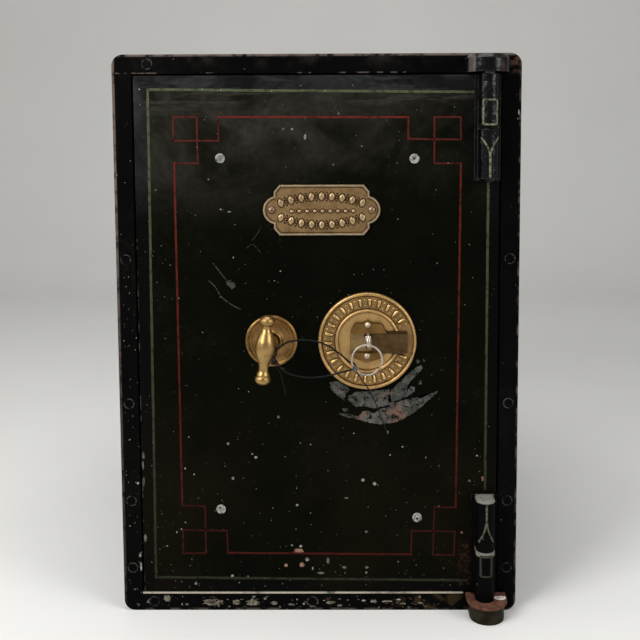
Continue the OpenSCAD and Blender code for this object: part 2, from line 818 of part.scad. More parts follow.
module leaf_rivets() { color([0.35, 0.34, 0.33]) at_front() leaf_rivet_cores(-leaf_rivet_grip, door_t); }

// The part of a fixed dog that stands out behind the ledge, through the casing
module dog_nose(z) {
    block(
        [casing_x1 - casing_t - dog_root, dog_y0, z - dog_h / 2],
        [casing_x1 + dog_out, dog_y1, z + dog_h / 2]
    );
}

module hinge_dogs() {
    color([0.55, 0.55, 0.54]) at_front() for (z = dog_z) {
        dog_nose(z);
        block(
            [casing_x1 - casing_t - dog_root, door_t, z - dog_h / 2],
            [casing_x1 - casing_t, dog_y1, z + dog_h / 2]
        );
    }
}

// Brass furniture
// The name plate's outline, drawn in by a distance all round
module plate_outline(inset = 0) {
    mid = plate_mid - inset * cut_draw.x;
    top = plate_h / 2 - inset;
    side = plate_mid + plate_cut.x - inset;
    corner = plate_h / 2 - plate_cut.y - inset * cut_draw.y;
    polygon([
        [-mid, top], [mid, top], [side, corner], [side, -corner],
        [mid, -top], [-mid, -top], [-side, -corner], [-side, corner]
    ]);
    for (s = [-1, 1]) translate([s * (plate_w / 2 - ear_r), 0]) circle(ear_r - inset);
}

name_rivet_x = plate_w / 2 - name_rivet_in;

module name_rivet_cores(y0, y1) {
    for (s = [-1, 1]) rod_y(plate_x + s * name_rivet_x, plate_z, name_rivet_r, y0, y1);
}

module name_plate() {
    color([0.6, 0.47, 0.28]) at_front() difference() {
        translate([plate_x, 0, plate_z]) {
            slab_y(-plate_t, 0) plate_outline();
            slab_y(-plate_t - plate_rim, -plate_t / 2) difference() {
                plate_outline();
                plate_outline(plate_border);
            }
        }
        name_rivet_cores(-plate_t - plate_rim - cut, cut);
    }
}

module name_plate_rivets() {
    color([0.68, 0.55, 0.33]) at_front() {
        name_rivet_cores(-plate_t - 0.5, fixing_depth);
        for (s = [-1, 1]) translate([plate_x + s * name_rivet_x, -plate_t, plate_z])
            rotate([90, 0, 0]) dome(name_rivet_r * 1.8, 2.8);
    }
}

// The escutcheon's section from its rim inward, as [radius, distance forward]
escutcheon_section = concat(
    [[0, 0], [escutcheon_r, 0]],
    bead_points(escutcheon_r - rim_bead_w, escutcheon_r, band_out, bead_out),
    bead_points(dish_r, dish_r + inner_bead_w, band_out, bead_out),
    [[0, band_out]]
);

module lock_escutcheon() {
    color([0.72, 0.56, 0.32]) at_front() difference() {
        turned_y(lock_x, lock_z, escutcheon_section);
        keyhole(-bead_out - cut, cut);
        block(
            [lock_x, -bead_out - cut, channel_z - channel_cut / 2],
            [lock_x + escutcheon_r - rim_bead_w - side_gap, -floor_out, channel_z + channel_cut / 2]
        );
        keeper_screw_cores(-bead_out - cut, cut);
    }
}

// The housing's outline about the escutcheon's centre
housing_points = [
    [-18, -15], [-18, 9], [-13.2, 19.5], [-4, 19.5], [0.3, 23], [4.6, 19.5], [15, 19.5], [20.5, 9],
    [20.5, -12], [13, -18.6], [0, -22.6], [-13, -18.6]
];

module keyhole_housing() {
    color([0.7, 0.54, 0.31]) at_front() difference() {
        translate([lock_x, 0, lock_z]) slab_y(-floor_out, -band_out) polygon(housing_points);
        keyhole(-floor_out - cut, cut);
        keeper_screw_cores(-floor_out - cut, cut);
    }
}

// One keeper of the sliding cover, from its outline about the escutcheon's centre
module keeper(points) {
    difference() {
        translate([lock_x, 0, lock_z]) slab_y(-keeper_out, -floor_out) polygon(points);
        block(
            [lock_x - 40, -flange_out - side_gap, channel_z - cover_h / 2 - flange_lip - side_gap],
            [lock_x + 40, -floor_out + cut, channel_z + cover_h / 2 + flange_lip + side_gap]
        );
        keeper_screw_cores(-keeper_out - cut, cut);
    }
}

module cover_keepers() {
    edge_up = channel_z + channel_h / 2 - lock_z;
    edge_down = channel_z - channel_h / 2 - lock_z;
    color([0.73, 0.57, 0.33]) at_front() {
        keeper([[-18, edge_up], [-13.2, 19.5], [-4, 19.5], [0.3, 23], [4.6, 19.5], [15, 19.5], [20.5, edge_up]]);
        keeper([[-17.5, edge_down], [20, edge_down], [14, -17.6], [-0.4, -22.4], [-14, -17.6]]);
    }
}

module keeper_screws() {
    color([0.78, 0.74, 0.68]) at_front() {
        keeper_screw_cores(-keeper_out - 0.5, fixing_depth);
        for (p = keeper_screw_places) translate([p.x, -keeper_out, p.y])
            rotate([90, 0, 0]) dome(screw_dome_r, 2.5);
    }
}

module keyhole_cover() {
    y0 = floor_out + side_gap;
    color([0.42, 0.33, 0.22]) at_front() {
        block(
            [cover_x0, -cover_out, channel_z - cover_h / 2],
            [cover_x0 + cover_w, -y0, channel_z + cover_h / 2]
        );
        block(
            [cover_x0, -flange_out, channel_z - cover_h / 2 - flange_lip],
            [cover_x0 + cover_w, -y0, channel_z + cover_h / 2 + flange_lip]
        );
    }
}

module handle_rose() {
    color([0.75, 0.6, 0.35]) at_front() turned_y(handle_x, handle_z, concat(
        [[spindle_r + 0.6, 0], [rose_r, 0]],
        smooth([
            [rose_r, 1.6], [rose_r - 0.5, 3.2], [rose_r - 2.2, 4.1], [rose_r - 3.8, 3.5], [rose_r - 4.6, 2.5],
            [rose_r - 6.2, 2.4], [rose_r - 8, 1.9], [rose_r - 12, 1.8], [13.6, 2.6], [12.4, 3.2],
            [11.6, 4.6], [10.2, 5.6], [8.9, 5.3], [8.2, 4.2], [7.6, 4]
        ], 3),
        [[spindle_r + 0.6, 4]]
    ));
}

module spindle_bush() {
    color([0.7, 0.55, 0.32]) at_front() difference() {
        rod_y(handle_x, handle_z, bush_r, 0, door_t);
        rod_y(handle_x, handle_z, spindle_r + run_fit, -cut, door_t + cut);
    }
}

module bolt_guides() {
    guide_x0 = casing_x0 + casing_t + side_gap;
    guide_x1 = bar_x0 - bolt_throw - guide_end_gap;
    color([0.45, 0.45, 0.44]) at_front() {
        for (z = bolt_z) difference() {
            block(
                [guide_x0, door_t, z - bolt_r - guide_wall],
                [guide_x1, bolt_y + bolt_r + 1.5, z + bolt_r + guide_wall]
            );
            translate([guide_x0 - cut, bolt_y, z]) rotate([0, 90, 0])
                cylinder(r = bolt_r + 2 * run_fit, h = guide_x1 - guide_x0 + 2 * cut);
        }
        block(
            [arm_guide_x, door_t, arm_z0 + arm_guide_in],
            [arm_guide_x + 3 * guide_wall, bar_y0 - side_gap, arm_z0 + arm_h - arm_guide_in]
        );
    }
}

// Lock
module lock_case() {
    color([0.42, 0.41, 0.38]) at_front() difference() {
        block([case_x0, door_t, case_z0], [case_x1, case_y1, case_z1]);
        block(
            [case_x0 + case_t, door_t + case_t, case_z0 + case_t],
            [case_x1 - case_t, case_y1 + cut, case_z1 - case_t]
        );
        rod_y(key_x, key_z, barrel_lock_r + run_fit, door_t - cut, door_t + case_t + cut);
        keyhole(door_t - cut, door_t + case_t + cut);
        block(
            [key_x - stump_w / 2 - notch_play, bar_y0 - notch_play, case_z1 - case_t - cut],
            [key_x + stump_w / 2 + notch_play, bar_y1 + notch_play, case_z1 + cut]
        );
        lock_screw_cores(door_t - cut, door_t + case_t + cut);
    }
}

module lock_cap() {
    g = side_gap;
    color([0.5, 0.48, 0.42]) at_front() difference() {
        block(
            [case_x0 + case_t + g, cap_y0, case_z0 + case_t + g],
            [case_x1 - case_t - g, case_y1, case_z1 - case_t - g]
        );
        lock_screw_cores(cap_y0 - cut, case_y1 + cut);
    }
}

module lock_screws() {
    color([0.6, 0.6, 0.58]) at_front() {
        lock_screw_cores(door_t - fixing_depth, case_y1 + 0.5);
        for (x = [case_x0 + lock_screw_in, case_x1 - lock_screw_in])
            for (z = [case_z0 + lock_screw_in, case_z1 - lock_screw_in])
                translate([x, case_y1, z]) rotate([-90, 0, 0]) dome(lock_screw_r * 1.9, 1.8);
    }
}

module lock_levers() {
    color([0.65, 0.52, 0.3]) at_front() for (k = [0:lever_count - 1]) {
        y0 = lever_y0 + k * lever_pitch;
        difference() {
            block([lever_x0, y0, lever_z0], [lever_x1, y0 + lever_t, lever_z1]);
            rod_y(key_x, key_z, sweep_r, y0 - cut, y0 + lever_t + cut);
            rod_y(pivot_x, pivot_z, pivot_r, y0 - cut, y0 + lever_t + cut);
        }
    }
}

module lever_pivot() {
    color([0.6, 0.6, 0.6]) at_front() rod_y(pivot_x, pivot_z, pivot_r, door_t + case_t, cap_y0 - side_gap);
}

module lever_springs() {
    z0 = lever_z1;
    z1 = case_z1 - case_t - side_gap;
    color([0.5, 0.5, 0.5]) at_front() for (k = [0:lever_count - 1]) {
        y0 = lever_y0 + k * lever_pitch;
        slab_y(y0, y0 + lever_t) polygon([
            [lever_x0 + spring_in, z0], [lever_x0 + spring_in + 1, z0], [lever_x1 - spring_in, z1],
            [lever_x1 - spring_in - 1.2, z1]
        ]);
    }
}

module lock_barrel() {
    color([0.6, 0.48, 0.28]) at_front() difference() {
        union() {
            rod_y(key_x, key_z, barrel_lock_r, barrel_y0, barrel_y1);
            rod_y(key_x, key_z, barrel_lock_r + 1.5, door_t + case_t + side_gap, barrel_y1);
        }
        rod_y(key_x, key_z, shank_r + side_gap, barrel_y0 - cut, barrel_y1 + cut);
        block(
            [key_x - bit_t / 2 - side_gap, barrel_y0 - cut, key_z - sweep_r],
            [key_x + bit_t / 2 + side_gap, barrel_y1 + cut, key_z]
        );
    }
}

module lock_bolt() {
    y1 = bar_y1 - 0.7;
    color([0.62, 0.62, 0.6]) at_front() difference() {
        union() {
            block(
                [key_x - lock_bolt_w / 2, bar_y0, lock_bolt_z0],
                [key_x + lock_bolt_w / 2, y1, lock_bolt_z1]
            );
            block([key_x - stump_w / 2, bar_y0, lock_bolt_z1 - cut], [key_x + stump_w / 2, y1, stump_z1]);
        }
        for (d = [0, lock_throw]) rod_y(key_x, key_z - d, sweep_r, bar_y0 - cut, y1 + cut);
        block([key_x - sweep_r, bar_y0 - cut, key_z - lock_throw], [key_x + sweep_r, y1 + cut, key_z]);
    }
}

module key() {
    bit_y0 = key_reach - bit_len - 1;
    color([0.75, 0.73, 0.7]) at_front() {
        rod_y(key_x, key_z, shank_r, bow_y + bow_half + bow_r - 1, key_reach);
        for (c = key_collars) rod_y(key_x, key_z, shank_r + c.x, -key_collar - c.y, -key_collar - c.z);
        difference() {
            block(
                [key_x - bit_t / 2, bit_y0, key_z - bit_reach],
                [key_x + bit_t / 2, bit_y0 + bit_len, key_z]
            );
            for (k = [0:2]) translate([0, bit_y0 + ward_at + k * ward_pitch, 0]) block(
                [key_x - bit_t, 0, key_z - bit_reach - cut],
                [key_x + bit_t, ward_w, key_z - bit_reach + ward_depth + k]
            );
        }
        translate([key_x - bow_t / 2, 0, 0]) rotate([90, 0, 90]) linear_extrude(bow_t) difference() {
            bow_outline(bow_r);
            bow_outline(bow_hole_r);
        }
    }
}

module bow_outline(r) {
    for (d = [-bow_half, bow_half]) translate([bow_y + d, key_z]) circle(r);
    translate([bow_y - bow_half, key_z - r]) square([2 * bow_half, 2 * r]);
}

module key_ring() {
    color([0.78, 0.76, 0.73]) at_front() translate([ring_x, ring_y, ring_z]) rotate([90, 0, 0])
        rotate_extrude() translate([ring_r, 0]) circle(ring_wire_r, $fn = small_fn);
}

// Handle
// The grip's outline from top to bottom, as [radius, height above its own middle]
grip_points = [
    [0, 33.65], [3.5, 32.95], [5.9, 31.45], [7.5, 29.35], [7.9, 27.25], [7.3, 25.05], [5.8, 23.25],
    [4.7, 21.75], [4.6, 19.75], [5.4, 17.25], [6.8, 14.35], [8.4, 10.05], [9.7, 5.85], [10.3, 0.85],
    [10, -4.15], [8.9, -8.45], [7.3, -12.75], [6, -15.55], [5.15, -18.45], [4.9, -21.25], [5.1, -24.15],
    [6, -26.25], [6.7, -28.15], [6.4, -29.25], [7.4, -30.45], [8, -32.75], [7.8, -34.85], [6.2, -36.95],
    [3.6, -38.45], [0, -39.15]
];

module handle_grip() {
    color([0.8, 0.66, 0.42]) at_front() translate([handle_x, -grip_out, handle_z]) difference() {
        translate([grip_side, 0, 0]) rotate([0, grip_lean, 0]) translate([0, 0, grip_rise])
            rotate_extrude() polygon(smooth(grip_points, 3));
        rod_y(0, 0, neck_r, 0, grip_out);
    }
}

module handle_neck() {
    color([0.76, 0.6, 0.36]) at_front() turned_y(handle_x, handle_z, concat(
        [[spindle_r, neck_back]],
        smooth([
            [7.2, neck_back], [7.7, 7], [7.2, 9.4], [6.7, 11.4], [7.6, 13], [8.6, 15.6], [8.4, 18.4],
            [7, 21], [6, 24], [neck_r, 28], [neck_r, 31]
        ], 3),
        [[neck_r, grip_out], [0, grip_out], [0, spindle_out], [spindle_r, spindle_out]]
    ));
}

module handle_spindle() {
    color([0.55, 0.55, 0.54]) at_front() rod_y(handle_x, handle_z, spindle_r, -spindle_out, spindle_end);
}

module handle_crank() {
    color([0.5, 0.5, 0.48]) at_front() {
        difference() {
            slab_y(crank_y0, crank_y1) {
                translate([handle_x, handle_z]) circle(spindle_r + crank_hub_wall);
                translate([pin_x, pin_z]) circle(crank_pin_r + crank_pin_wall);
                translate([handle_x, handle_z]) rotate(crank_half)
                    translate([-crank_web / 2, -crank_r]) square([crank_web, crank_r]);
            }
            rod_y(handle_x, handle_z, spindle_r, crank_y0 - cut, crank_y1 + cut);
        }
        rod_y(pin_x, pin_z, crank_pin_r, crank_y1 - cut, bar_y1 - side_gap);
    }
}

module spindle_nut() {
    color([0.52, 0.52, 0.5]) at_front() difference() {
        translate([handle_x, crank_y1, handle_z]) rotate([-90, 0, 0])
            cylinder(r = spindle_r * 1.4, h = nut_t, $fn = 6);
        rod_y(handle_x, handle_z, spindle_r, crank_y1 - cut, spindle_end + cut);
    }
}

// Bolt work
// Places of the two rivets that hold each bolt on the bar
bolt_rivet_x = [bar_x0 + bolt_rivet_in, bar_x0 + 3 * bolt_rivet_in];

module bolt_rivet_cores(y0, y1) { for (x = bolt_rivet_x, z = bolt_z) rod_y(x, z, bolt_rivet_r, y0, y1); }

module bolt_bar() {
    slot_z0 = handle_z - crank_r - crank_pin_r - slot_play;
    slot_z1 = pin_z + crank_pin_r + slot_play;
    slot_half = crank_pin_r + slot_play;
    color([0.48, 0.48, 0.47]) at_front() difference() {
        slab_y(bar_y0, bar_y1) {
            translate([bar_x0, bolt_z[0] - bar_over]) square([bar_w, bolt_z[1] - bolt_z[0] + 2 * bar_over]);
            translate([bar_x1 - 1, arm_z0]) square([arm_x1 - bar_x1 + 1, arm_h]);
            translate([pin_x - tab_w / 2, tab_z0]) square([tab_w, arm_z0 - tab_z0 + 1]);
        }
        block([pin_x - slot_half, bar_y0 - cut, slot_z0], [pin_x + slot_half, bar_y1 + cut, slot_z1]);
        for (d = [0, bolt_throw]) block(
            [key_x + d - stump_w / 2 - notch_play, bar_y0 - cut, arm_z0 - cut],
            [key_x + d + stump_w / 2 + notch_play, bar_y1 + cut, stump_z1 + lock_throw + 1]
        );
        bolt_rivet_cores(bar_y0 - cut, bar_y1 + cut);
    }
}

// A round bolt with a bevelled nose and a fork over the bar
module round_bolt(z) {
    difference() {
        translate([bolt_x0, bolt_y, z]) rotate([0, 90, 0]) {
            cylinder(r1 = bolt_r - bolt_chamfer, r2 = bolt_r, h = bolt_chamfer);
            translate([0, 0, bolt_chamfer]) cylinder(r = bolt_r, h = bolt_x1 - bolt_x0 - bolt_chamfer);
        }
        block([bar_x0, bar_y0, z - bolt_r - cut], [bolt_x1 + cut, bar_y1, z + bolt_r + cut]);
        bolt_rivet_cores(bolt_y - bolt_r - cut, bolt_y + bolt_r + cut);
    }
}

module upper_bolt() { color([0.66, 0.65, 0.62]) at_front() round_bolt(bolt_z[1]); }

module lower_bolt() { color([0.66, 0.65, 0.62]) at_front() round_bolt(bolt_z[0]); }

module bolt_rivets() {
    color([0.5, 0.5, 0.49]) at_front() bolt_rivet_cores(bolt_y - bolt_r + 0.5, bolt_y + bolt_r - 0.5);
}

// Cable ties
// A strap of flat section along a route, its width along Y
module strap(route, thick) {
    n = len(route);
    function heading(i) = route[min(i + 1, n - 1)] - route[max(i - 1, 0)];
    function across(i) = let (t = heading(i), l = norm([t.x, t.z])) [-t.z / l, 0, t.x / l] * thick / 2;
    wide = [0, strap_w / 2, 0];
    points = [for (i = [0:n - 1], c = [[1, 1], [1, -1], [-1, -1], [-1, 1]])
        route[i] + c.x * wide + c.y * across(i)];
    sides = [for (i = [0:n - 2], k = [0:3]) let (a = 4 * i + k, b = 4 * i + (k + 1) % 4)
        [[a, b, b + 4], [a, b + 4, a + 4]]];
    caps = [[0, 2, 1], [0, 3, 2], [4 * n - 4, 4 * n - 3, 4 * n - 2], [4 * n - 4, 4 * n - 2, 4 * n - 1]];
    polyhedron(points, concat([for (s = sides) each s], caps));
}

module key_tie() {
    color([0.05, 0.05, 0.05]) at_front() {
        strap(smooth(concat(key_tie_out, key_tie_link, key_tie_home), 2), strap_t);
        strap(smooth(key_tail_points, 2), tail_t);
    }
}

module neck_tie() {
    color([0.05, 0.05, 0.05]) at_front() {
        difference() {
            translate([0, neck_tie_y, 0])
                rod_y(neck_ring.x, neck_ring.y, neck_ring_r + strap_t, -strap_w / 2, strap_w / 2);
            translate([0, neck_tie_y, 0]) rod_y(neck_ring.x, neck_ring.y, neck_ring_r, -strap_w, strap_w);
        }
        strap(smooth(neck_tail_points, 2), tail_t);
    }
}

module tie_heads() {
    size = [head_w, head_t, head_h];
    color([0.12, 0.12, 0.12]) at_front() for (p = [key_head, neck_head]) block(p - size / 2, p + size / 2);
}

outer_shell();
back_plate();
back_rivets();
front_top_rail();
front_bottom_rail();
front_left_jamb();
front_right_jamb();
frame_rivets();
inner_lining();
fire_filling();
shelf();
shelf_angles();
shelf_rivets();
upper_hinge_bracket();
lower_hinge_bracket();
upper_hinge_pin();
lower_hinge_pin();
door_plate();
door_casing();
casing_screws();
door_filling();
door_plugs();
upper_hinge_leaf();
lower_hinge_leaf();
leaf_rivets();
hinge_dogs();
name_plate();
name_plate_rivets();
lock_escutcheon();
keyhole_housing();
cover_keepers();
keeper_screws();
handle_rose();
spindle_bush();
bolt_guides();
lock_case();
lock_cap();
lock_levers();
lever_pivot();
lever_springs();
lock_screws();
neck_tie();
key_tie();
tie_heads();
handle_grip();
handle_neck();
handle_spindle();
handle_crank();
spindle_nut();
bolt_bar();
upper_bolt();
lower_bolt();
bolt_rivets();
lock_barrel();
lock_bolt();
key();
key_ring();
keyhole_cover();
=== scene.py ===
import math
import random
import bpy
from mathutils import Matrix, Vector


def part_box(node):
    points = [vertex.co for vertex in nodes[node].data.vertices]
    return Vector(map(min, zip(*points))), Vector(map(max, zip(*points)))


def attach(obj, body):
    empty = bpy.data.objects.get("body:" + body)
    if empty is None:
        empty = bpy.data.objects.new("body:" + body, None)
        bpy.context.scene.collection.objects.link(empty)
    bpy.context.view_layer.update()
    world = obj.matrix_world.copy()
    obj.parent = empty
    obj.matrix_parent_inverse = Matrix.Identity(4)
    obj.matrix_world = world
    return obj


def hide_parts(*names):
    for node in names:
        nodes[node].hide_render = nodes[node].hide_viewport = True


bl_info = {
    "name": "Floor safe",
    "version": (1, 0, 0),
    "blender": (4, 5, 0),
    "location": "View3D > Sidebar > Safe",
    "description": "Dresses the floor safe: old paint and pinstripes, brass, key and cable tie",
    "category": "Object",
}

import bmesh
import bpy
from bpy.props import FloatProperty, FloatVectorProperty, IntProperty, PointerProperty
from bpy.types import Operator, Panel, PropertyGroup
from mathutils import Euler, Vector, noise

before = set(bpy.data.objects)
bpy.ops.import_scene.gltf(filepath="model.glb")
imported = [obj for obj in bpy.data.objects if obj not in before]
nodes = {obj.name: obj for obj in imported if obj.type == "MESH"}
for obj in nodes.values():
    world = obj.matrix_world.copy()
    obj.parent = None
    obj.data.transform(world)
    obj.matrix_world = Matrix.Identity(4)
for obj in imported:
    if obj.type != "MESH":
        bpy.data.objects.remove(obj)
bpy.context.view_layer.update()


def linear(*rgb):
    """A colour in steps of 0 to 255, as the linear values that a shader takes."""
    parts = [c / 255 for c in rgb]
    return tuple(c / 12.92 if c <= 0.04045 else ((c + 0.055) / 1.055) ** 2.4 for c in parts)


# Tones of wear, rust, dirt and single fittings, in steps of 0 to 255
TONES = {
    "rim_worn": (98, 87, 80), "sill_worn": (176, 166, 150), "corner_rust": (84, 62, 52),
    "rail_olive": (58, 46, 28), "top_brown": (76, 66, 60), "frame_chip_dull_dark": (40, 36, 30),
    "frame_chip_dull_light": (122, 117, 102), "frame_chip_rusty_dark": (40, 27, 20),
    "frame_chip_rusty_light": (84, 62, 48), "frame_chip_pale_dark": (90, 86, 78),
    "frame_chip_pale_light": (150, 146, 138), "plaster": (196, 186, 166),
    "plaster_dirty": (150, 138, 118), "bracket_flank_highlight": (96, 90, 84), "bracket_brown": (92, 68, 56),
    "bracket_edge": (96, 88, 80), "lower_bracket": (26, 22, 14), "bracket_rust_light": (102, 68, 54),
    "bracket_rust_dark": (72, 47, 38), "bracket_speckle": (70, 46, 36), "bracket_olive": (46, 40, 26),
    "bracket_chip_dark": (150, 138, 130), "bracket_chip_light": (222, 214, 206),
    "leaf_side": (116, 106, 96), "leaf_edge": (92, 82, 74), "leaf_bare": (124, 121, 113),
    "lower_leaf_edge": (66, 58, 50), "stripe_foot": (46, 48, 34), "stripe_low": (82, 85, 68),
    "stripe_high": (108, 111, 90), "stripe_worn": (40, 42, 30), "border_mist_and_sheen": (50, 51, 51),
    "door_warm": (24, 17, 8), "door_rust": (72, 46, 36), "door_edge": (84, 82, 76),
    "casing": (58, 58, 54), "plug_dark": (84, 82, 77), "plug_light": (152, 149, 142),
    "grey_plug_dark": (84, 84, 82), "grey_plug_light": (116, 115, 112), "plug_hole": (24, 24, 22),
    "plug_rim_dark": (40, 40, 37), "plug_rim_light": (158, 155, 148), "green_worn": (50, 53, 38),
    "red_worn": (54, 21, 16), "red_corner_worn": (40, 19, 15), "patch_dark": (46, 47, 45),
    "patch_light": (90, 89, 84), "primer": (104, 78, 66), "paint_chip_pale_dark": (66, 64, 58),
    "paint_chip_pale_light": (138, 134, 126), "paint_chip_dull_dark": (44, 42, 37),
    "paint_chip_dull_light": (104, 100, 90), "paint_chip_brown_dark": (88, 62, 50),
    "paint_chip_brown_light": (142, 112, 92), "scratch_dark": (20, 20, 16),
    "scratch_light": (66, 64, 58), "ornament": (186, 160, 122), "ornament_dull": (70, 50, 30),
    "plate_rivet": (158, 132, 108), "plate_rivet_dull": (48, 38, 30), "plate_shadow_tarnish": (78, 58, 36),
    "plate_shadow_tarnish_dull": (44, 32, 20), "plate_rim": (196, 182, 156), "plate_rim_dull": (120, 100, 76),
    "housing": (162, 134, 92), "keepers": (136, 104, 60), "keeper_screws": (216, 200, 178),
    "cover_dull": (60, 46, 30), "band_shadow_tarnish": (92, 68, 40), "band_shadow_tarnish_dull": (48, 34, 20),
    "grip": (172, 141, 88), "rose": (156, 120, 72), "rose_dull": (54, 38, 22),
    "bolt_bar": (120, 118, 112), "lock_case": (104, 100, 92), "levers": (190, 152, 92),
    "tie_scuffed": (50, 50, 52), "tie_head_dark": (44, 45, 46), "tie_head_light": (104, 106, 106),
    "tie_head_black": (10, 10, 11),
}


def tone(name):
    """One of the tones, as linear values."""
    return linear(*TONES[name])


# Bare steel, its stains and a few dark tones, as the linear values that a shader takes
STAINS = {
    "rivet_rim": (0.045, 0.042, 0.04), "corner_darkening": (0.08, 0.065, 0.045), "dull_steel": (0.3, 0.29, 0.28),
    "pin_stain": (0.05, 0.04, 0.035), "dog_stain": (0.06, 0.05, 0.045), "casing_edge": (0.16, 0.15, 0.14),
    "screw_steel": (0.3, 0.29, 0.27), "screw_stain": (0.06, 0.05, 0.04),
    "keeper_screw_stain": (0.12, 0.09, 0.06), "spindle_stain": (0.06, 0.05, 0.045),
    "works_stain": (0.05, 0.04, 0.03), "bolt_stain": (0.09, 0.08, 0.07), "key_stain": (0.07, 0.055, 0.045),
}

# How deep the paint's pieces are let into the surface under them, in metres
SUNK = 0.00003
# How much the width of a painted line varies, as a share, and how far the line strays, in metres
WIDTH_WAVER = 0.22
LINE_DRIFT = 0.00025

# Places read off the frame, in metres
door_low, door_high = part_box("door_plate")
front = door_low.y
leaf_low, leaf_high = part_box("upper_hinge_leaf")
lower_leaf_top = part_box("lower_hinge_leaf")[1].z
lower_foot = lower_leaf_top - (leaf_high.z - leaf_low.z)
sill_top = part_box("lower_hinge_bracket")[1].z
head_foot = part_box("upper_hinge_bracket")[0].z
pin_low, pin_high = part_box("lower_hinge_pin")
hinge_x = (pin_low.x + pin_high.x) / 2
hinge_y = (pin_low.y + pin_high.y) / 2
barrel_r = hinge_y - leaf_low.y
lock_low, lock_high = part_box("lock_escutcheon")
lock_x = (lock_low.x + lock_high.x) / 2
lock_z = (lock_low.z + lock_high.z) / 2
lock_r = (lock_high.x - lock_low.x) / 2
rose_low, rose_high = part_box("handle_rose")
handle_x = (rose_low.x + rose_high.x) / 2
handle_z = (rose_low.z + rose_high.z) / 2
plate_low, plate_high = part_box("name_plate")
plate_x = (plate_low.x + plate_high.x) / 2
plate_z = (plate_low.z + plate_high.z) / 2
lock_barrel_low, lock_barrel_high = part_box("lock_barrel")
key_x = (lock_barrel_low.x + lock_barrel_high.x) / 2
key_z = (lock_barrel_low.z + lock_barrel_high.z) / 2
bow_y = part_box("key")[0].y + 0.012
ring_low, ring_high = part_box("key_ring")
ring_x = (ring_low.x + ring_high.x) / 2
ring_r = (ring_high.x - ring_low.x) / 2
ring_z = (ring_low.z + ring_high.z) / 2
ring_y = (ring_low.y + ring_high.y) / 2


def colour_property(name, text, rgb):
    return FloatVectorProperty(
        name=name, description=text, default=linear(*rgb), subtype="COLOR", size=3, min=0, max=1,
    )


def length_property(name, text, metres, least, most):
    return FloatProperty(name=name, description=text, default=metres, min=least, max=most, unit="LENGTH")


def angle_property(name, text, radians):
    return FloatProperty(name=name, description=text, default=radians, subtype="ANGLE")


class SafePaint(PropertyGroup):
    body: colour_property("Body", "Colour of the body's black paint", (6, 6, 6))
    door: colour_property("Door", "Colour of the door's bottle-green paint", (7, 8, 3))
    haze: colour_property("Haze", "Colour of the bloom on old paint", (56, 53, 47))
    speck: colour_property("Specks", "Colour of the specks and of bare edges", (150, 148, 140))
    green_line: colour_property("Green line", "Colour of the outer pinstripe", (72, 76, 56))
    red_line: colour_property("Red line", "Colour of the inner pinstripe", (96, 34, 28))
    green_width: length_property("Green width", "Width of the outer pinstripe", 0.0027, 0.001, 0.006)
    red_width: length_property("Red width", "Width of the inner pinstripe", 0.0021, 0.001, 0.006)
    lining: colour_property("Lining", "Colour of the chamber's paint", (150, 142, 122))


class SafeMetal(PropertyGroup):
    brass: colour_property("Brass", "Colour of clean brass", (200, 163, 107))
    tarnish: colour_property("Tarnish", "Colour of brass in the hollows", (62, 42, 20))
    plate: colour_property("Plate", "Colour of the name plate's dull brass", (152, 124, 86))
    cover: colour_property("Cover", "Colour of the keyhole cover", (98, 76, 50))
    steel: colour_property("Steel", "Colour of bare steel", (150, 148, 144))
    nickel: colour_property("Key", "Colour of the key and its ring", (190, 180, 166))
    tongues: IntProperty(
        name="Tongues", description="Tongues round the escutcheon", default=26, min=8, max=40,
    )


class SafeTie(PropertyGroup):
    nylon: colour_property("Nylon", "Colour of the cable ties", (8, 8, 9))
    width: length_property("Width", "Width of the strap", 0.0024, 0.001, 0.005)
    thickness: length_property("Thickness", "Thickness of the strap", 0.0016, 0.0005, 0.002)


class SafeStage(PropertyGroup):
    camera_place: FloatVectorProperty(
        name="Camera", description="Place of the camera", default=(0.0328, -1.215, 0.5453),
        subtype="TRANSLATION", size=3,
    )
    camera_pitch: angle_property("Pitch", "Tilt of the camera below level", 0.0876)
    camera_yaw: angle_property("Yaw", "Turn of the camera to its left", -0.0077)
    camera_roll: angle_property("Roll", "Roll of the camera", -0.0042)
    focal: FloatProperty(
        name="Focal length", description="Focal length in picture widths", default=1.4736, min=0.5,
    )
    floor: colour_property("Floor", "Colour of the floor and backdrop", (222, 221, 218))
    world: FloatProperty(name="World", description="Strength of the world's light", default=0.28, min=0)
    lamps: FloatProperty(name="Lamps", description="Power of each side lamp", default=26, min=0, unit="POWER")


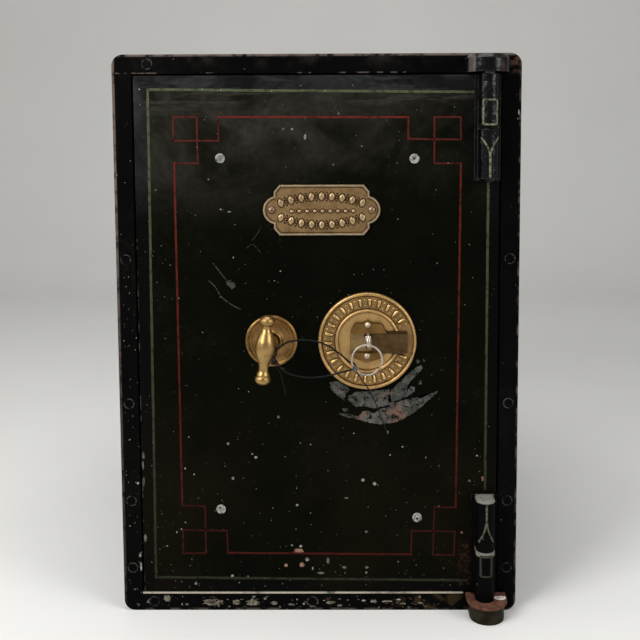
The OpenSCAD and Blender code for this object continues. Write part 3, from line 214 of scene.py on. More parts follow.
class Finish:
    """A material in the making. Each method adds nodes and hands back a socket."""

    def __init__(self, name):
        self.material = bpy.data.materials.new(name)
        self.material.use_nodes = True
        self.tree = self.material.node_tree
        self.shader = self.tree.nodes["Principled BSDF"]
        self.place = self.tree.nodes.new("ShaderNodeTexCoord").outputs["Object"]
        axes = self.add("ShaderNodeSeparateXYZ", {0: self.place})
        self.x, self.y, self.z = axes.outputs

    def feed(self, socket, value):
        """A value, a colour or another node's socket goes into a socket."""
        if isinstance(value, bpy.types.NodeSocket):
            self.tree.links.new(value, socket)
        elif socket.type == "RGBA":
            socket.default_value = (*value, 1)
        else:
            socket.default_value = value

    def add(self, kind, inputs=None, **settings):
        """A node with its settings, and what goes into it."""
        node = self.tree.nodes.new(kind)
        for name, value in settings.items():
            setattr(node, name, value)
        for key, value in (inputs or {}).items():
            self.feed(node.inputs[key], value)
        return node

    def maths(self, operation, a, b=0.0, c=0.0, clamp=False):
        node = self.add("ShaderNodeMath", {0: a, 1: b, 2: c}, operation=operation, use_clamp=clamp)
        return node.outputs[0]

    def most(self, first, *others):
        for other in others:
            first = self.maths("MAXIMUM", first, other)
        return first

    def both(self, a, b):
        """High only where both shares are high."""
        return self.maths("MULTIPLY", a, b, clamp=True)

    def rise(self, value, low, high):
        """0 at low, 1 at high, and smooth between them."""
        inputs = {"Value": value, "From Min": low, "From Max": high}
        return self.add("ShaderNodeMapRange", inputs, interpolation_type="SMOOTHSTEP").outputs["Result"]

    def stretched(self, x, y, z):
        """Places scaled along each axis, for marks that run one way."""
        scaled = self.add("ShaderNodeVectorMath", {0: self.place, 1: (x, y, z)}, operation="MULTIPLY")
        return scaled.outputs[0]

    def clouds(self, scale, detail=4.0, rough=0.55, place=None, warp=0.0):
        """Cloudy noise from 0 to 1, about even at 0.5."""
        inputs = {
            "Vector": place or self.place, "Scale": scale, "Detail": detail, "Roughness": rough,
            "Distortion": warp,
        }
        return self.add("ShaderNodeTexNoise", inputs).outputs["Fac"]

    def specks(self, scale, size, share):
        """Dots of uneven brightness, up to size cells in radius, in that share of the cells."""
        warp = self.add("ShaderNodeTexNoise", {"Vector": self.place, "Scale": scale * 2.3, "Detail": 2.0})
        bent = self.add(
            "ShaderNodeVectorMath", {0: warp.outputs["Color"], 1: (0.4 / scale,) * 3, 2: self.place},
            operation="MULTIPLY_ADD",
        )
        cells = self.add("ShaderNodeTexVoronoi", {"Vector": bent.outputs[0], "Scale": scale})
        pick = self.add("ShaderNodeSeparateColor", {0: cells.outputs["Color"]})
        reach = self.both(self.rise(pick.outputs[0], 1 - share, 1 - share * 0.2), size)
        bright = self.maths("MULTIPLY_ADD", self.maths("POWER", pick.outputs[1], 2.0), 0.8, 0.2)
        return self.both(self.maths("LESS_THAN", cells.outputs["Distance"], reach), bright)

    def away(self, x, z):
        """The distance from a point of the front, seen from before it."""
        flat = self.add("ShaderNodeCombineXYZ", {0: self.x, 1: self.z})
        reach = self.add("ShaderNodeVectorMath", {0: flat.outputs[0], 1: (x, z, 0)}, operation="DISTANCE")
        return reach.outputs["Value"]

    def spot(self, x, z, radius, ragged=0.5, grain=90.0):
        """A ragged spot on the front, of about that radius round x, z."""
        away = self.away(x, z)
        wobble = self.maths("MULTIPLY_ADD", self.clouds(grain, 3.0), -ragged * 2 * radius, ragged * radius)
        return self.rise(self.maths("ADD", away, wobble), radius, radius * 0.75)

    def blend(self, share, a, b):
        """Colour a where share is 0 and b where it is 1."""
        mix = self.add("ShaderNodeMix", data_type="RGBA")
        for index, value in ((0, share), (6, a), (7, b)):
            self.feed(mix.inputs[index], value)
        return mix.outputs[2]

    def level(self, share, a, b):
        """The value a where share is 0 and b where it is 1."""
        return self.maths("MULTIPLY_ADD", share, b - a, a)

    def hollows(self, distance):
        """1 in corners and grooves narrower than distance, 0 in the open."""
        cavity = self.add("ShaderNodeAmbientOcclusion", {"Distance": distance}, samples=6)
        return self.maths("SUBTRACT", 1.0, cavity.outputs["AO"])

    def rounded(self, radius):
        """The direction of the surface with its sharp edges rounded off."""
        return self.add("ShaderNodeBevel", {"Radius": radius}, samples=4).outputs["Normal"]

    def edges(self, radius):
        """1 along sharp edges, 0 on flat faces."""
        flat = self.add("ShaderNodeNewGeometry").outputs["Normal"]
        bent = self.rounded(radius)
        agree = self.add("ShaderNodeVectorMath", {0: flat, 1: bent}, operation="DOT_PRODUCT")
        return self.rise(agree.outputs["Value"], 0.995, 0.9)

    def done(self, colour, rough, metal=0.0, height=None, depth=0.0003, gloss=0.5, corner=0.0):
        """The finished material, with its relief of that depth and its corners rounded, in metres."""
        self.feed(self.shader.inputs["Base Color"], colour)
        self.feed(self.shader.inputs["Roughness"], rough)
        self.feed(self.shader.inputs["Metallic"], metal)
        self.shader.inputs["Specular IOR Level"].default_value = gloss
        normal = self.rounded(corner) if corner else None
        if height is not None:
            bump = self.add("ShaderNodeBump", {"Strength": 1.0, "Distance": depth, "Height": height})
            if normal:
                self.feed(bump.inputs["Normal"], normal)
            normal = bump.outputs["Normal"]
        if normal:
            self.feed(self.shader.inputs["Normal"], normal)
        return self.material


def smooth_path(points, steps):
    """More points on a smooth curve through the given ones."""
    path = []
    last = len(points) - 1
    for i in range(last):
        a, b, c, d = (Vector(points[min(max(k, 0), last)]) for k in (i - 1, i, i + 1, i + 2))
        for s in range(steps):
            t = s / steps
            path.append(
                b + t * (c - a) / 2 + t ** 2 * (2 * a - 5 * b + 4 * c - d) / 2
                + t ** 3 * (3 * b - a - 3 * c + d) / 2
            )
    path.append(Vector(points[-1]))
    return path


def piece(name, bm, body, material, smooth=True, stands_for=()):
    """A mesh becomes a piece that rides on a body."""
    bmesh.ops.recalc_face_normals(bm, faces=bm.faces)
    mesh = bpy.data.meshes.new(name)
    bm.to_mesh(mesh)
    bm.free()
    made = bpy.data.objects.new(name, mesh)
    bpy.context.scene.collection.objects.link(made)
    mesh.materials.append(material)
    if smooth:
        mesh.polygons.foreach_set("use_smooth", [True] * len(mesh.polygons))
    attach(made, body)
    if stands_for:
        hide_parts(*stands_for)
    return made


def soften(made, width, segments=2, angle=35):
    """Rounded edges by a bevel."""
    bevel = made.modifiers.new("soft_edges", "BEVEL")
    bevel.width = width
    bevel.segments = segments
    bevel.limit_method = "ANGLE"
    bevel.angle_limit = math.radians(angle)
    bevel.harden_normals = True
    return made


def loops_to_faces(bm, loops, closed_section=True, closed_path=False):
    """Faces between rows of vertices, with both ends capped unless the path is closed."""
    rows = [[bm.verts.new(p) for p in loop] for loop in loops]
    pairs = list(zip(rows, rows[1:])) + ([(rows[-1], rows[0])] if closed_path else [])
    for a, b in pairs:
        count = len(a) if closed_section else len(a) - 1
        for i in range(count):
            j = (i + 1) % len(a)
            bm.faces.new((a[i], a[j], b[j], b[i]))
    if not closed_path and closed_section:
        bm.faces.new(rows[0])
        bm.faces.new(list(reversed(rows[-1])))


def sweep(bm, path, section, upright=(0, 1, 0), closed=False):
    """A section of (across, upright) points is carried along a path."""
    count = len(path)
    loops = []
    for i, point in enumerate(path):
        ahead = path[(i + 1) % count] if closed else path[min(i + 1, count - 1)]
        behind = path[i - 1] if closed else path[max(i - 1, 0)]
        along = (ahead - behind).normalized()
        up = (Vector(upright) - along * along.dot(Vector(upright))).normalized()
        out = along.cross(up)
        shape = section(i / max(count - 1, 1)) if callable(section) else section
        loops.append([point + out * a + up * b for a, b in shape])
    loops_to_faces(bm, loops, closed_path=closed)


def round_angles(count):
    """Angles of a full turn in equal steps."""
    return [2 * math.pi * k / count for k in range(count)]


def oval(a, b, count=16):
    """An ellipse with those half lengths."""
    return [(a * math.cos(turn), b * math.sin(turn)) for turn in round_angles(count)]


def rounded_bar(width, thickness, corner):
    """The section of a strap: a rectangle with its corners taken off."""
    w, t, c = width / 2, thickness / 2, corner
    return [
        (t, w - c), (t - c, w), (c - t, w), (-t, w - c), (-t, c - w), (c - t, -w), (t - c, -w), (t, c - w),
    ]


def turned(bm, profile, centre, steps=64):
    """A profile of (radius, distance forward) points, turned about the front-back axis."""
    x, y, z = centre
    loops = [
        [(x + r * math.cos(turn), y - out, z + r * math.sin(turn)) for r, out in profile]
        for turn in round_angles(steps)
    ]
    loops_to_faces(bm, loops, closed_section=False, closed_path=True)


def on_front(u, v, height):
    """A point of the door's face, or height in front of it."""
    return Vector((u, front - height, v))


def on_barrel(u, v, height):
    """A point of a hinge barrel's face: u is measured round it from its front."""
    angle = u / barrel_r
    reach = barrel_r + height
    return Vector((hinge_x + reach * math.sin(angle), hinge_y - reach * math.cos(angle), v))


def in_front(lift):
    """The door's face, raised a little."""
    return lambda u, v, height: on_front(u, v, height + lift)


def wave(p, scale, seed):
    """Smooth noise between -1 and 1 at a point of a plane, with about scale waves to a metre."""
    return noise.noise(Vector((p.x * scale, p.y * scale, seed)))


def painted_line(bm, points, width, surface, closed=False, height=0.00012, seed=0.0, stride=0.005):
    """A hand-painted line: a thin ribbon whose width and edges waver a little."""
    corners = [Vector(p) for p in points]
    stations = []
    count = len(corners)
    for i, here in enumerate(corners):
        if not closed and i == count - 1:
            stations.append((here, "end"))
            break
        run = corners[(i + 1) % count] - here
        steps = max(1, round(run.length / stride))
        stations.append((here, "corner"))
        stations += [(here + run * s / steps, "run") for s in range(1, steps)]
    loops = []
    total = len(stations)
    for i, (here, kind) in enumerate(stations):
        ahead = stations[(i + 1) % total][0] if closed or i < total - 1 else here
        behind = stations[i - 1][0] if closed or i > 0 else here
        first = (here - behind).normalized() if here != behind else (ahead - here).normalized()
        second = (ahead - here).normalized() if here != ahead else first
        normal_a = Vector((-first.y, first.x))
        normal_b = Vector((-second.y, second.x))
        side = (normal_a + normal_b).normalized()
        side /= max(side.dot(normal_a), 0.4)
        half = width / 2 * (1 + WIDTH_WAVER * wave(here, 160, seed))
        drift = wave(here, 60, seed + 7.0) * LINE_DRIFT if kind == "run" else 0.0
        a = here + side * (half + drift)
        b = here - side * (half - drift)
        loops.append([
            surface(a.x, a.y, -SUNK), surface(a.x, a.y, height),
            surface(b.x, b.y, height), surface(b.x, b.y, -SUNK),
        ])
    loops_to_faces(bm, loops, closed_path=closed)


def worn_rings(bm, places, radius, width, lift, sides, seed_step):
    """A worn ring round each flush rivet or plug, each a little different."""
    for i, (x, z) in enumerate(places):
        ring = [polar(x, z, radius, turn) for turn in round_angles(sides)]
        painted_line(bm, ring, width, in_front(lift), closed=True, seed=i * seed_step)


def ragged(outline, step, jag, seed):
    """An outline in finer steps with a broken edge."""
    points = []
    count = len(outline)
    middle = sum((Vector(p) for p in outline), Vector((0, 0))) / count
    for i in range(count):
        a, b = Vector(outline[i]), Vector(outline[(i + 1) % count])
        steps = max(1, round((b - a).length / step))
        for s in range(steps):
            p = a + (b - a) * s / steps
            push = wave(p, 700, seed) + 0.5 * wave(p, 1900, seed)
            points.append(p + (p - middle).normalized() * push * jag)
    return points


def flake(bm, outline, surface, height=0.0001):
    """A thin patch over the paint, from its outline."""
    top = [bm.verts.new(surface(p.x, p.y, height)) for p in outline]
    foot = [bm.verts.new(surface(p.x, p.y, -SUNK)) for p in outline]
    face = bm.faces.new(top)
    for i in range(len(top)):
        j = (i + 1) % len(top)
        bm.faces.new((top[i], foot[i], foot[j], top[j]))
    bmesh.ops.triangulate(bm, faces=[face])


def chip_piece(name, body, material, chips, seed, lift=0.00009):
    """Thin broken patches from (x, z, half width, half height), in millimetres."""
    bm = bmesh.new()
    spread = random.Random(seed)
    for x, z, half_w, half_h in chips:
        count = 9 if max(half_w, half_h) < 1.5 else 22
        outline = []
        for k in range(count):
            angle = 2 * math.pi * (k + spread.uniform(-0.3, 0.3)) / count
            reach = spread.uniform(0.62, 1.0)
            a = x + half_w * reach * math.cos(angle)
            b = z + half_h * reach * math.sin(angle)
            outline.append(Vector((a / 1000, b / 1000)))
        flake(bm, outline, on_front, lift)
    return piece(name, bm, body, material, smooth=False)


def chip_tone(name, grain=150.0):
    """Bare metal or primer that shows in a chip, in the dark and the light tone of that name."""
    finish = Finish(name)
    mottle = finish.rise(finish.clouds(grain, 4.0, 0.65), 0.32, 0.66)
    colour = finish.blend(mottle, tone(name + "_dark"), tone(name + "_light"))
    return finish.done(colour, 0.62, 0.0, mottle, 0.0001, 0.1)


def raised(bm, outline, base, height, draw_in):
    """A cast ornament: an outline that rises with sloping sides to a slightly smaller top."""
    middle = sum((Vector(p) for p in outline), Vector((0, 0))) / len(outline)
    rings = []
    for up, inward in ((-0.0002, 0), (height * 0.6, draw_in * 0.4), (height, draw_in)):
        ring = []
        for p in outline:
            offset = Vector(p) - middle
            shorter = middle + offset * max(1 - inward / max(offset.length, 1e-6), 0.05)
            ring.append((shorter.x, base - up, shorter.y))
        rings.append(ring)
    loops_to_faces(bm, rings)


def polar(centre_x, centre_z, radius, angle):
    """A point on a circle round a centre."""
    return Vector((centre_x + radius * math.cos(angle), centre_z + radius * math.sin(angle)))


def dress(names, material):
    """A finish for CAD nodes."""
    for name in names:
        mesh = nodes[name].data
        mesh.materials.clear()
        mesh.materials.append(material)


def old_paint(name, base, haze_share, speck_share):
    """Old gloss paint with bloom and specks. Hands back the finish and its colour, roughness and height."""
    paint = bpy.context.scene.safe_paint
    finish = Finish(name)
    bloom = finish.rise(finish.clouds(9.0, 6.0, 0.62), 0.45, 0.75)
    fine = finish.clouds(140.0, 5.0, 0.7)
    haze = finish.both(bloom, finish.maths("MULTIPLY", finish.rise(fine, 0.35, 0.8), haze_share))
    colour = finish.blend(haze, base, paint.haze)
    shade = finish.rise(finish.clouds(26.0, 3.0), 0.3, 0.7)
    colour = finish.blend(finish.maths("MULTIPLY", shade, 0.5), colour, tuple(c * 0.4 for c in base))
    dots = finish.most(
        finish.specks(250.0, 0.15, speck_share), finish.specks(100.0, 0.1, speck_share * 0.7),
        finish.specks(480.0, 0.22, speck_share),
    )
    colour = finish.blend(finish.maths("MULTIPLY", dots, 0.8), colour, paint.speck)
    rough = finish.maths("MULTIPLY_ADD", fine, 0.2, 0.36)
    rough = finish.maths("MULTIPLY_ADD", finish.most(haze, dots), 0.25, rough)
    height = finish.maths("SUBTRACT", finish.clouds(260.0, 3.0), finish.maths("MULTIPLY", dots, 0.8))
    return finish, colour, rough, height


def worn_line(finish, colour, mask, metal, grain, low, high, share=1.0):
    """Bare metal along an edge, broken up by noise. Hands back the colour and where it is bare."""
    broken = finish.both(mask, finish.rise(finish.clouds(grain, 4.0, 0.6), low, high))
    return finish.blend(finish.maths("MULTIPLY", broken, share), colour, metal), broken


def within(finish, value, low, high, soft=0.0004):
    """1 between low and high, falling off over soft."""
    above = finish.rise(value, low - soft, low + soft)
    return finish.both(above, finish.rise(value, high + soft, high - soft))


def brass_finish(
    name, clean, dull, dullness, rough_low, rough_high, stipple=0.0, corner=0.0004, band=None,
):
    """Brass that is bright where hands rub it and dark in the hollows. A band, as (inner, outer) radius
    round the lock's middle, is dull all over."""
    finish = Finish(name)
    patina = finish.rise(finish.clouds(70.0, 6.0, 0.65), 0.3, 0.75)
    spots = finish.rise(finish.clouds(420.0, 4.0, 0.6), 0.52, 0.7)
    spotted = finish.maths("MULTIPLY", spots, dullness * 0.7)
    share = finish.maths("MULTIPLY_ADD", patina, dullness, spotted, clamp=True)
    share = finish.most(share, finish.rise(finish.hollows(0.003), 0.14, 0.55))
    if band:
        low = finish.rise(finish.y, front - 0.0042, front - 0.0034)
        field = finish.both(within(finish, finish.away(lock_x, lock_z), band[0], band[1], 0.0005), low)
        dirt = finish.maths("MULTIPLY_ADD", patina, 0.3, 0.45)
        share = finish.most(share, finish.maths("MULTIPLY", field, dirt))
    colour = finish.blend(share, clean, dull)
    grain = finish.clouds(900.0, 3.0)
    height = finish.maths("MULTIPLY", grain, 0.25)
    if stipple:
        pits = finish.add("ShaderNodeTexVoronoi", {"Vector": finish.place, "Scale": 900.0})
        height = finish.maths("MULTIPLY_ADD", pits.outputs["Distance"], stipple, height)
    rough = finish.maths("MULTIPLY_ADD", share, rough_high - rough_low, rough_low)
    return finish.done(colour, rough, 1.0, height, 0.00025, corner=corner)


def steel_finish(name, colour_light, colour_dark, rough=0.34, brushed=(60, 60, 900)):
    """Bare steel with faint brush marks and a few dark stains."""
    finish = Finish(name)
    lay = finish.clouds(1.0, 3.0, 0.6, finish.stretched(*brushed))
    stain = finish.rise(finish.clouds(45.0, 5.0, 0.6), 0.45, 0.75)
    share = finish.most(finish.maths("MULTIPLY", stain, 0.7), finish.rise(finish.hollows(0.002), 0.3, 0.9))
    colour = finish.blend(share, colour_light, colour_dark)
    roughness = finish.maths("MULTIPLY_ADD", lay, 0.25, rough)
    return finish.done(colour, roughness, 1.0, lay, 0.00006, corner=0.0004)


# Chips in the frame's paint as (x, z, half width, half height), in millimetres
FRAME_CHIPS = [
    (-119.2, 9.1, 13.2, 4.1), (-92.1, 9.2, 5, 3.4), (-74.2, 8.6, 8.9, 4), (-50.2, 8, 4, 2.3),
    (-169, 13.2, 4.4, 5.2), (-147, 6.5, 2.2, 1.5), (-60.5, 13.2, 2.2, 1.7), (-8.4, 9.1, 7.4, 6.6),
    (12, 8.6, 6, 2.2), (22, 5, 4, 1.6), (-32, 6.6, 3.4, 1.6), (-208.4, 96.4, 1.7, 1),
    (91.6, 7.2, 4.4, 1.4), (111, 8, 3, 1.5), (31, 11.5, 2, 0.9),
]
FRAME_CHIPS_PALE = [
    (48.5, 10.8, 2.6, 1.2), (59.8, 9.9, 4.2, 1.9), (74.5, 9.9, 7.6, 1.2), (87.2, 12, 2.9, 1),
    (-17.6, 7, 1.7, 1.7), (-25.2, 12, 1, 1), (-198.2, 144.9, 1.6, 1.6), (-197.7, 63.2, 1.8, 2.8),
    (-197, 50.3, 1.3, 5.6), (-204.4, 23.9, 0.8, 0.8), (-206.4, 193.5, 0.8, 0.8),
    (-213.3, 483.1, 0.9, 1.6), (-205.9, 194.1, 0.8, 0.8), (213.4, 548, 1, 3.6),
    (212.4, 541, 0.8, 0.9), (4.5, 11, 1.2, 0.7), (-190, 9, 2, 0.8),
]


# Broad rusty chips on the bottom rail
FRAME_CHIPS_RUSTY = [(-119, 9, 5, 2.4), (-8.4, 9.1, 3.4, 3)]
# How many fine knocks are scattered along the bottom rail, how many of them in its left part, and
# how many up the left jamb
RAIL_KNOCKS = 95
LEFT_KNOCKS = 70
JAMB_KNOCKS = 46
# The flush rivets of the frame as (x, z), in metres
FLUSH_RIVETS = [(x, z) for x in (-0.2058, 0.2058) for z in (0.049, 0.125, 0.234, 0.392)]
FLUSH_RIVETS += [(-0.183, 0.0102), (-0.008, 0.0102), (-0.1785, 0.5998)]


class SAFE_OT_body_paint(Operator):
    """Paints the body and its front frame, worn along the edges"""

    bl_idname = "safe.body_paint"
    bl_label = "Body paint"

    def execute(self, context):
        paint = context.scene.safe_paint
        dress(["outer_shell", "back_plate", "back_rivets"], self.black(paint, "shell_black", 0.3, 0.3))
        bars = ["front_top_rail", "front_bottom_rail", "front_left_jamb", "front_right_jamb"]
        dress([*bars, "frame_rivets"], self.black(paint, "frame_black", 0.15, 0.02))
        self.rivet_rims()
        self.chips()
        return {"FINISHED"}

    def black(self, paint, name, haze_share, gloss):
        """Black paint, worn along the rims of the front. The frame's is duller than the shell's."""
        finish, colour, rough, height = old_paint(name, paint.body, haze_share, 0.02)
        at_front = finish.rise(finish.y, front + 0.004, front + 0.0005)
        colour, rims = self.worn_rims(finish, colour, at_front)
        colour, sill = self.worn_sill(finish, colour, at_front)
        colour = self.rust(finish, colour)
        bare = finish.maths("MULTIPLY", finish.most(rims, sill), 1.5)
        height = finish.maths("SUBTRACT", height, bare)
        return finish.done(colour, rough, 0.0, height, 0.00012, gloss, 0.0009)

    def worn_rims(self, finish, colour, at_front):
        """Brown wear, strong along the top and down the left, broken along the right, foot and head lip."""
        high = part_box("outer_shell")[1]
        half = high.x
        left = finish.rise(finish.x, 0.0034 - half, 0.0018 - half)
        right = finish.rise(finish.x, half - 0.0026, half - 0.0012)
        top = finish.rise(finish.z, high.z - 0.0032, high.z - 0.001)
        foot = finish.rise(finish.z, 0.0034, 0.0012)
        brown = tone("rim_worn")
        less = finish.level(finish.rise(finish.z, 0.12, 0.52), 0.3, 0.9)
        strong = finish.both(finish.most(top, finish.both(left, less)), at_front)
        colour, bare = worn_line(finish, colour, strong, brown, 85.0, 0.3, 0.56)
        faint = finish.both(finish.most(right, foot), at_front)
        colour, thin = worn_line(finish, colour, faint, brown, 75.0, 0.46, 0.6, 0.5)
        lip = finish.both(at_front, within(finish, finish.z, head_foot + 0.0002, head_foot + 0.0014))
        colour, _ = worn_line(finish, colour, lip, brown, 55.0, 0.52, 0.58, 0.6)
        return colour, finish.most(bare, thin)

    def worn_sill(self, finish, colour, at_front):
        """The pale worn line under the door."""
        sill = finish.both(at_front, within(finish, finish.z, sill_top - 0.0015, sill_top + 0.001))
        sill = finish.both(sill, within(finish, finish.x, -0.1955, 0.1583))
        return worn_line(finish, colour, sill, tone("sill_worn"), 34.0, 0.26, 0.5, 0.95)

    def rust(self, finish, colour):
        """Rust in the upper right corner, an olive stain on the bottom rail and a brown cast at the top."""
        near_front = finish.rise(finish.y, front + 0.04, front + 0.006)
        corner = finish.both(finish.rise(finish.x, 0.2, 0.207), finish.rise(finish.z, 0.586, 0.596))
        broken = finish.rise(finish.clouds(240.0, 4.0), 0.38, 0.62)
        corner = finish.both(finish.both(corner, near_front), broken)
        colour = finish.blend(finish.maths("MULTIPLY", corner, 0.6), colour, tone("corner_rust"))
        low = finish.rise(finish.z, sill_top, sill_top - 0.004)
        olive = finish.both(low, within(finish, finish.x, 0.09, 0.165, 0.02))
        broken = finish.rise(finish.clouds(90.0, 4.0), 0.48, 0.62)
        olive = finish.both(finish.both(olive, near_front), broken)
        colour = finish.blend(finish.maths("MULTIPLY", olive, 0.6), colour, tone("rail_olive"))
        broken = finish.rise(finish.clouds(40.0, 5.0), 0.45, 0.7)
        cast = finish.both(finish.rise(finish.z, 0.59, 0.609), broken)
        return finish.blend(finish.maths("MULTIPLY", cast, 0.15), colour, tone("top_brown"))

    def chips(self):
        """Knocks in the frame's paint, dense along the bottom rail and sparse up the left jamb."""
        dull = chip_tone("frame_chip_dull", 260.0)
        spread = random.Random(8)
        knocks = []
        for k in range(RAIL_KNOCKS):
            x = spread.uniform(-205, 30) if k < LEFT_KNOCKS else spread.uniform(30, 120)
            z = spread.uniform(2.5, 16)
            half_w = 0.5 + 2 * spread.random() ** 2
            half_h = 0.4 + 1.2 * spread.random() ** 2
            knocks.append((x, z, half_w, half_h))
        for _ in range(JAMB_KNOCKS):
            x = spread.uniform(-212, -196)
            z = spread.uniform(20, 420)
            knocks.append((x, z, 0.5, 0.6 + 0.6 * spread.random()))
        chip_piece("frame_chips", "cabinet", dull, FRAME_CHIPS + knocks[::2], 5)
        rusty = chip_tone("frame_chip_rusty", 200.0)
        chips = FRAME_CHIPS_RUSTY + knocks[1::2]
        chip_piece("frame_chips_rusty", "cabinet", rusty, chips, 7, 0.00012)
        pale = chip_tone("frame_chip_pale")
        chip_piece("frame_chips_pale", "cabinet", pale, FRAME_CHIPS_PALE, 6)

    def rivet_rims(self):
        """The worn rims of the flush rivets."""
        finish = Finish("rivet_rim_worn")
        broken = finish.rise(finish.clouds(230.0, 4.0), 0.38, 0.6)
        colour = finish.blend(broken, bpy.context.scene.safe_paint.body, STAINS["rivet_rim"])
        worn = finish.done(colour, 0.55, 0.0, broken, 0.0001, 0.06)
        bm = bmesh.new()
        worn_rings(bm, FLUSH_RIVETS, radius=0.0053, width=0.0011, lift=0.0003, sides=28, seed_step=3.1)
        piece("flush_rivet_rims", bm, "cabinet", worn, smooth=False)


class SAFE_OT_chamber_paint(Operator):
    """Finishes the lining, shelf and fire filling"""

    bl_idname = "safe.chamber_paint"
    bl_label = "Chamber"

    def execute(self, context):
        paint = context.scene.safe_paint
        cream, colour, rough, height = old_paint("lining_cream", paint.lining, 0.25, 0.03)
        # Darker in the chamber's corners and recesses.
        corner_darkening = cream.rise(cream.hollows(0.03), 0.2, 0.9)
        colour = cream.blend(cream.maths("MULTIPLY", corner_darkening, 0.6), colour, STAINS["corner_darkening"])
        lining = cream.done(colour, rough, 0.0, height, 0.0001, 0.4, 0.0006)
        dress(["inner_lining", "shelf", "shelf_angles", "shelf_rivets"], lining)
        plaster = Finish("fire_filling_plaster")
        grit = plaster.clouds(180.0, 8.0, 0.7)
        colour = plaster.blend(plaster.rise(grit, 0.35, 0.7), tone("plaster"), tone("plaster_dirty"))
        dress(["fire_filling", "door_filling"], plaster.done(colour, 0.95, 0.0, grit, 0.0006, 0.2))
        return {"FINISHED"}


# The striping of each hinge barrel, in metres: the ends and half width of its box, then the tips,
# split and stem's end of its fork, and how far the tips reach sideways
UPPER_STRIPES = ((0.0268, 0.0522), 0.0078, (0.0655, 0.0835, 0.1075), 0.0108)
LOWER_STRIPES = ((0.0276, 0.0502), 0.0062, (0.0648, 0.0888, 0.1078), 0.0092)
STRIPE_WIDTH = 0.0019
# The bare spot on the lower bracket as (x, y counted from the front face), in metres
BRACKET_SPOT = [
    (0.1905, -0.0095), (0.1945, -0.0084), (0.1992, -0.0086), (0.2031, -0.0095), (0.2033, -0.0135),
    (0.2016, -0.0165), (0.1975, -0.0172), (0.1935, -0.017), (0.1895, -0.0135),
]


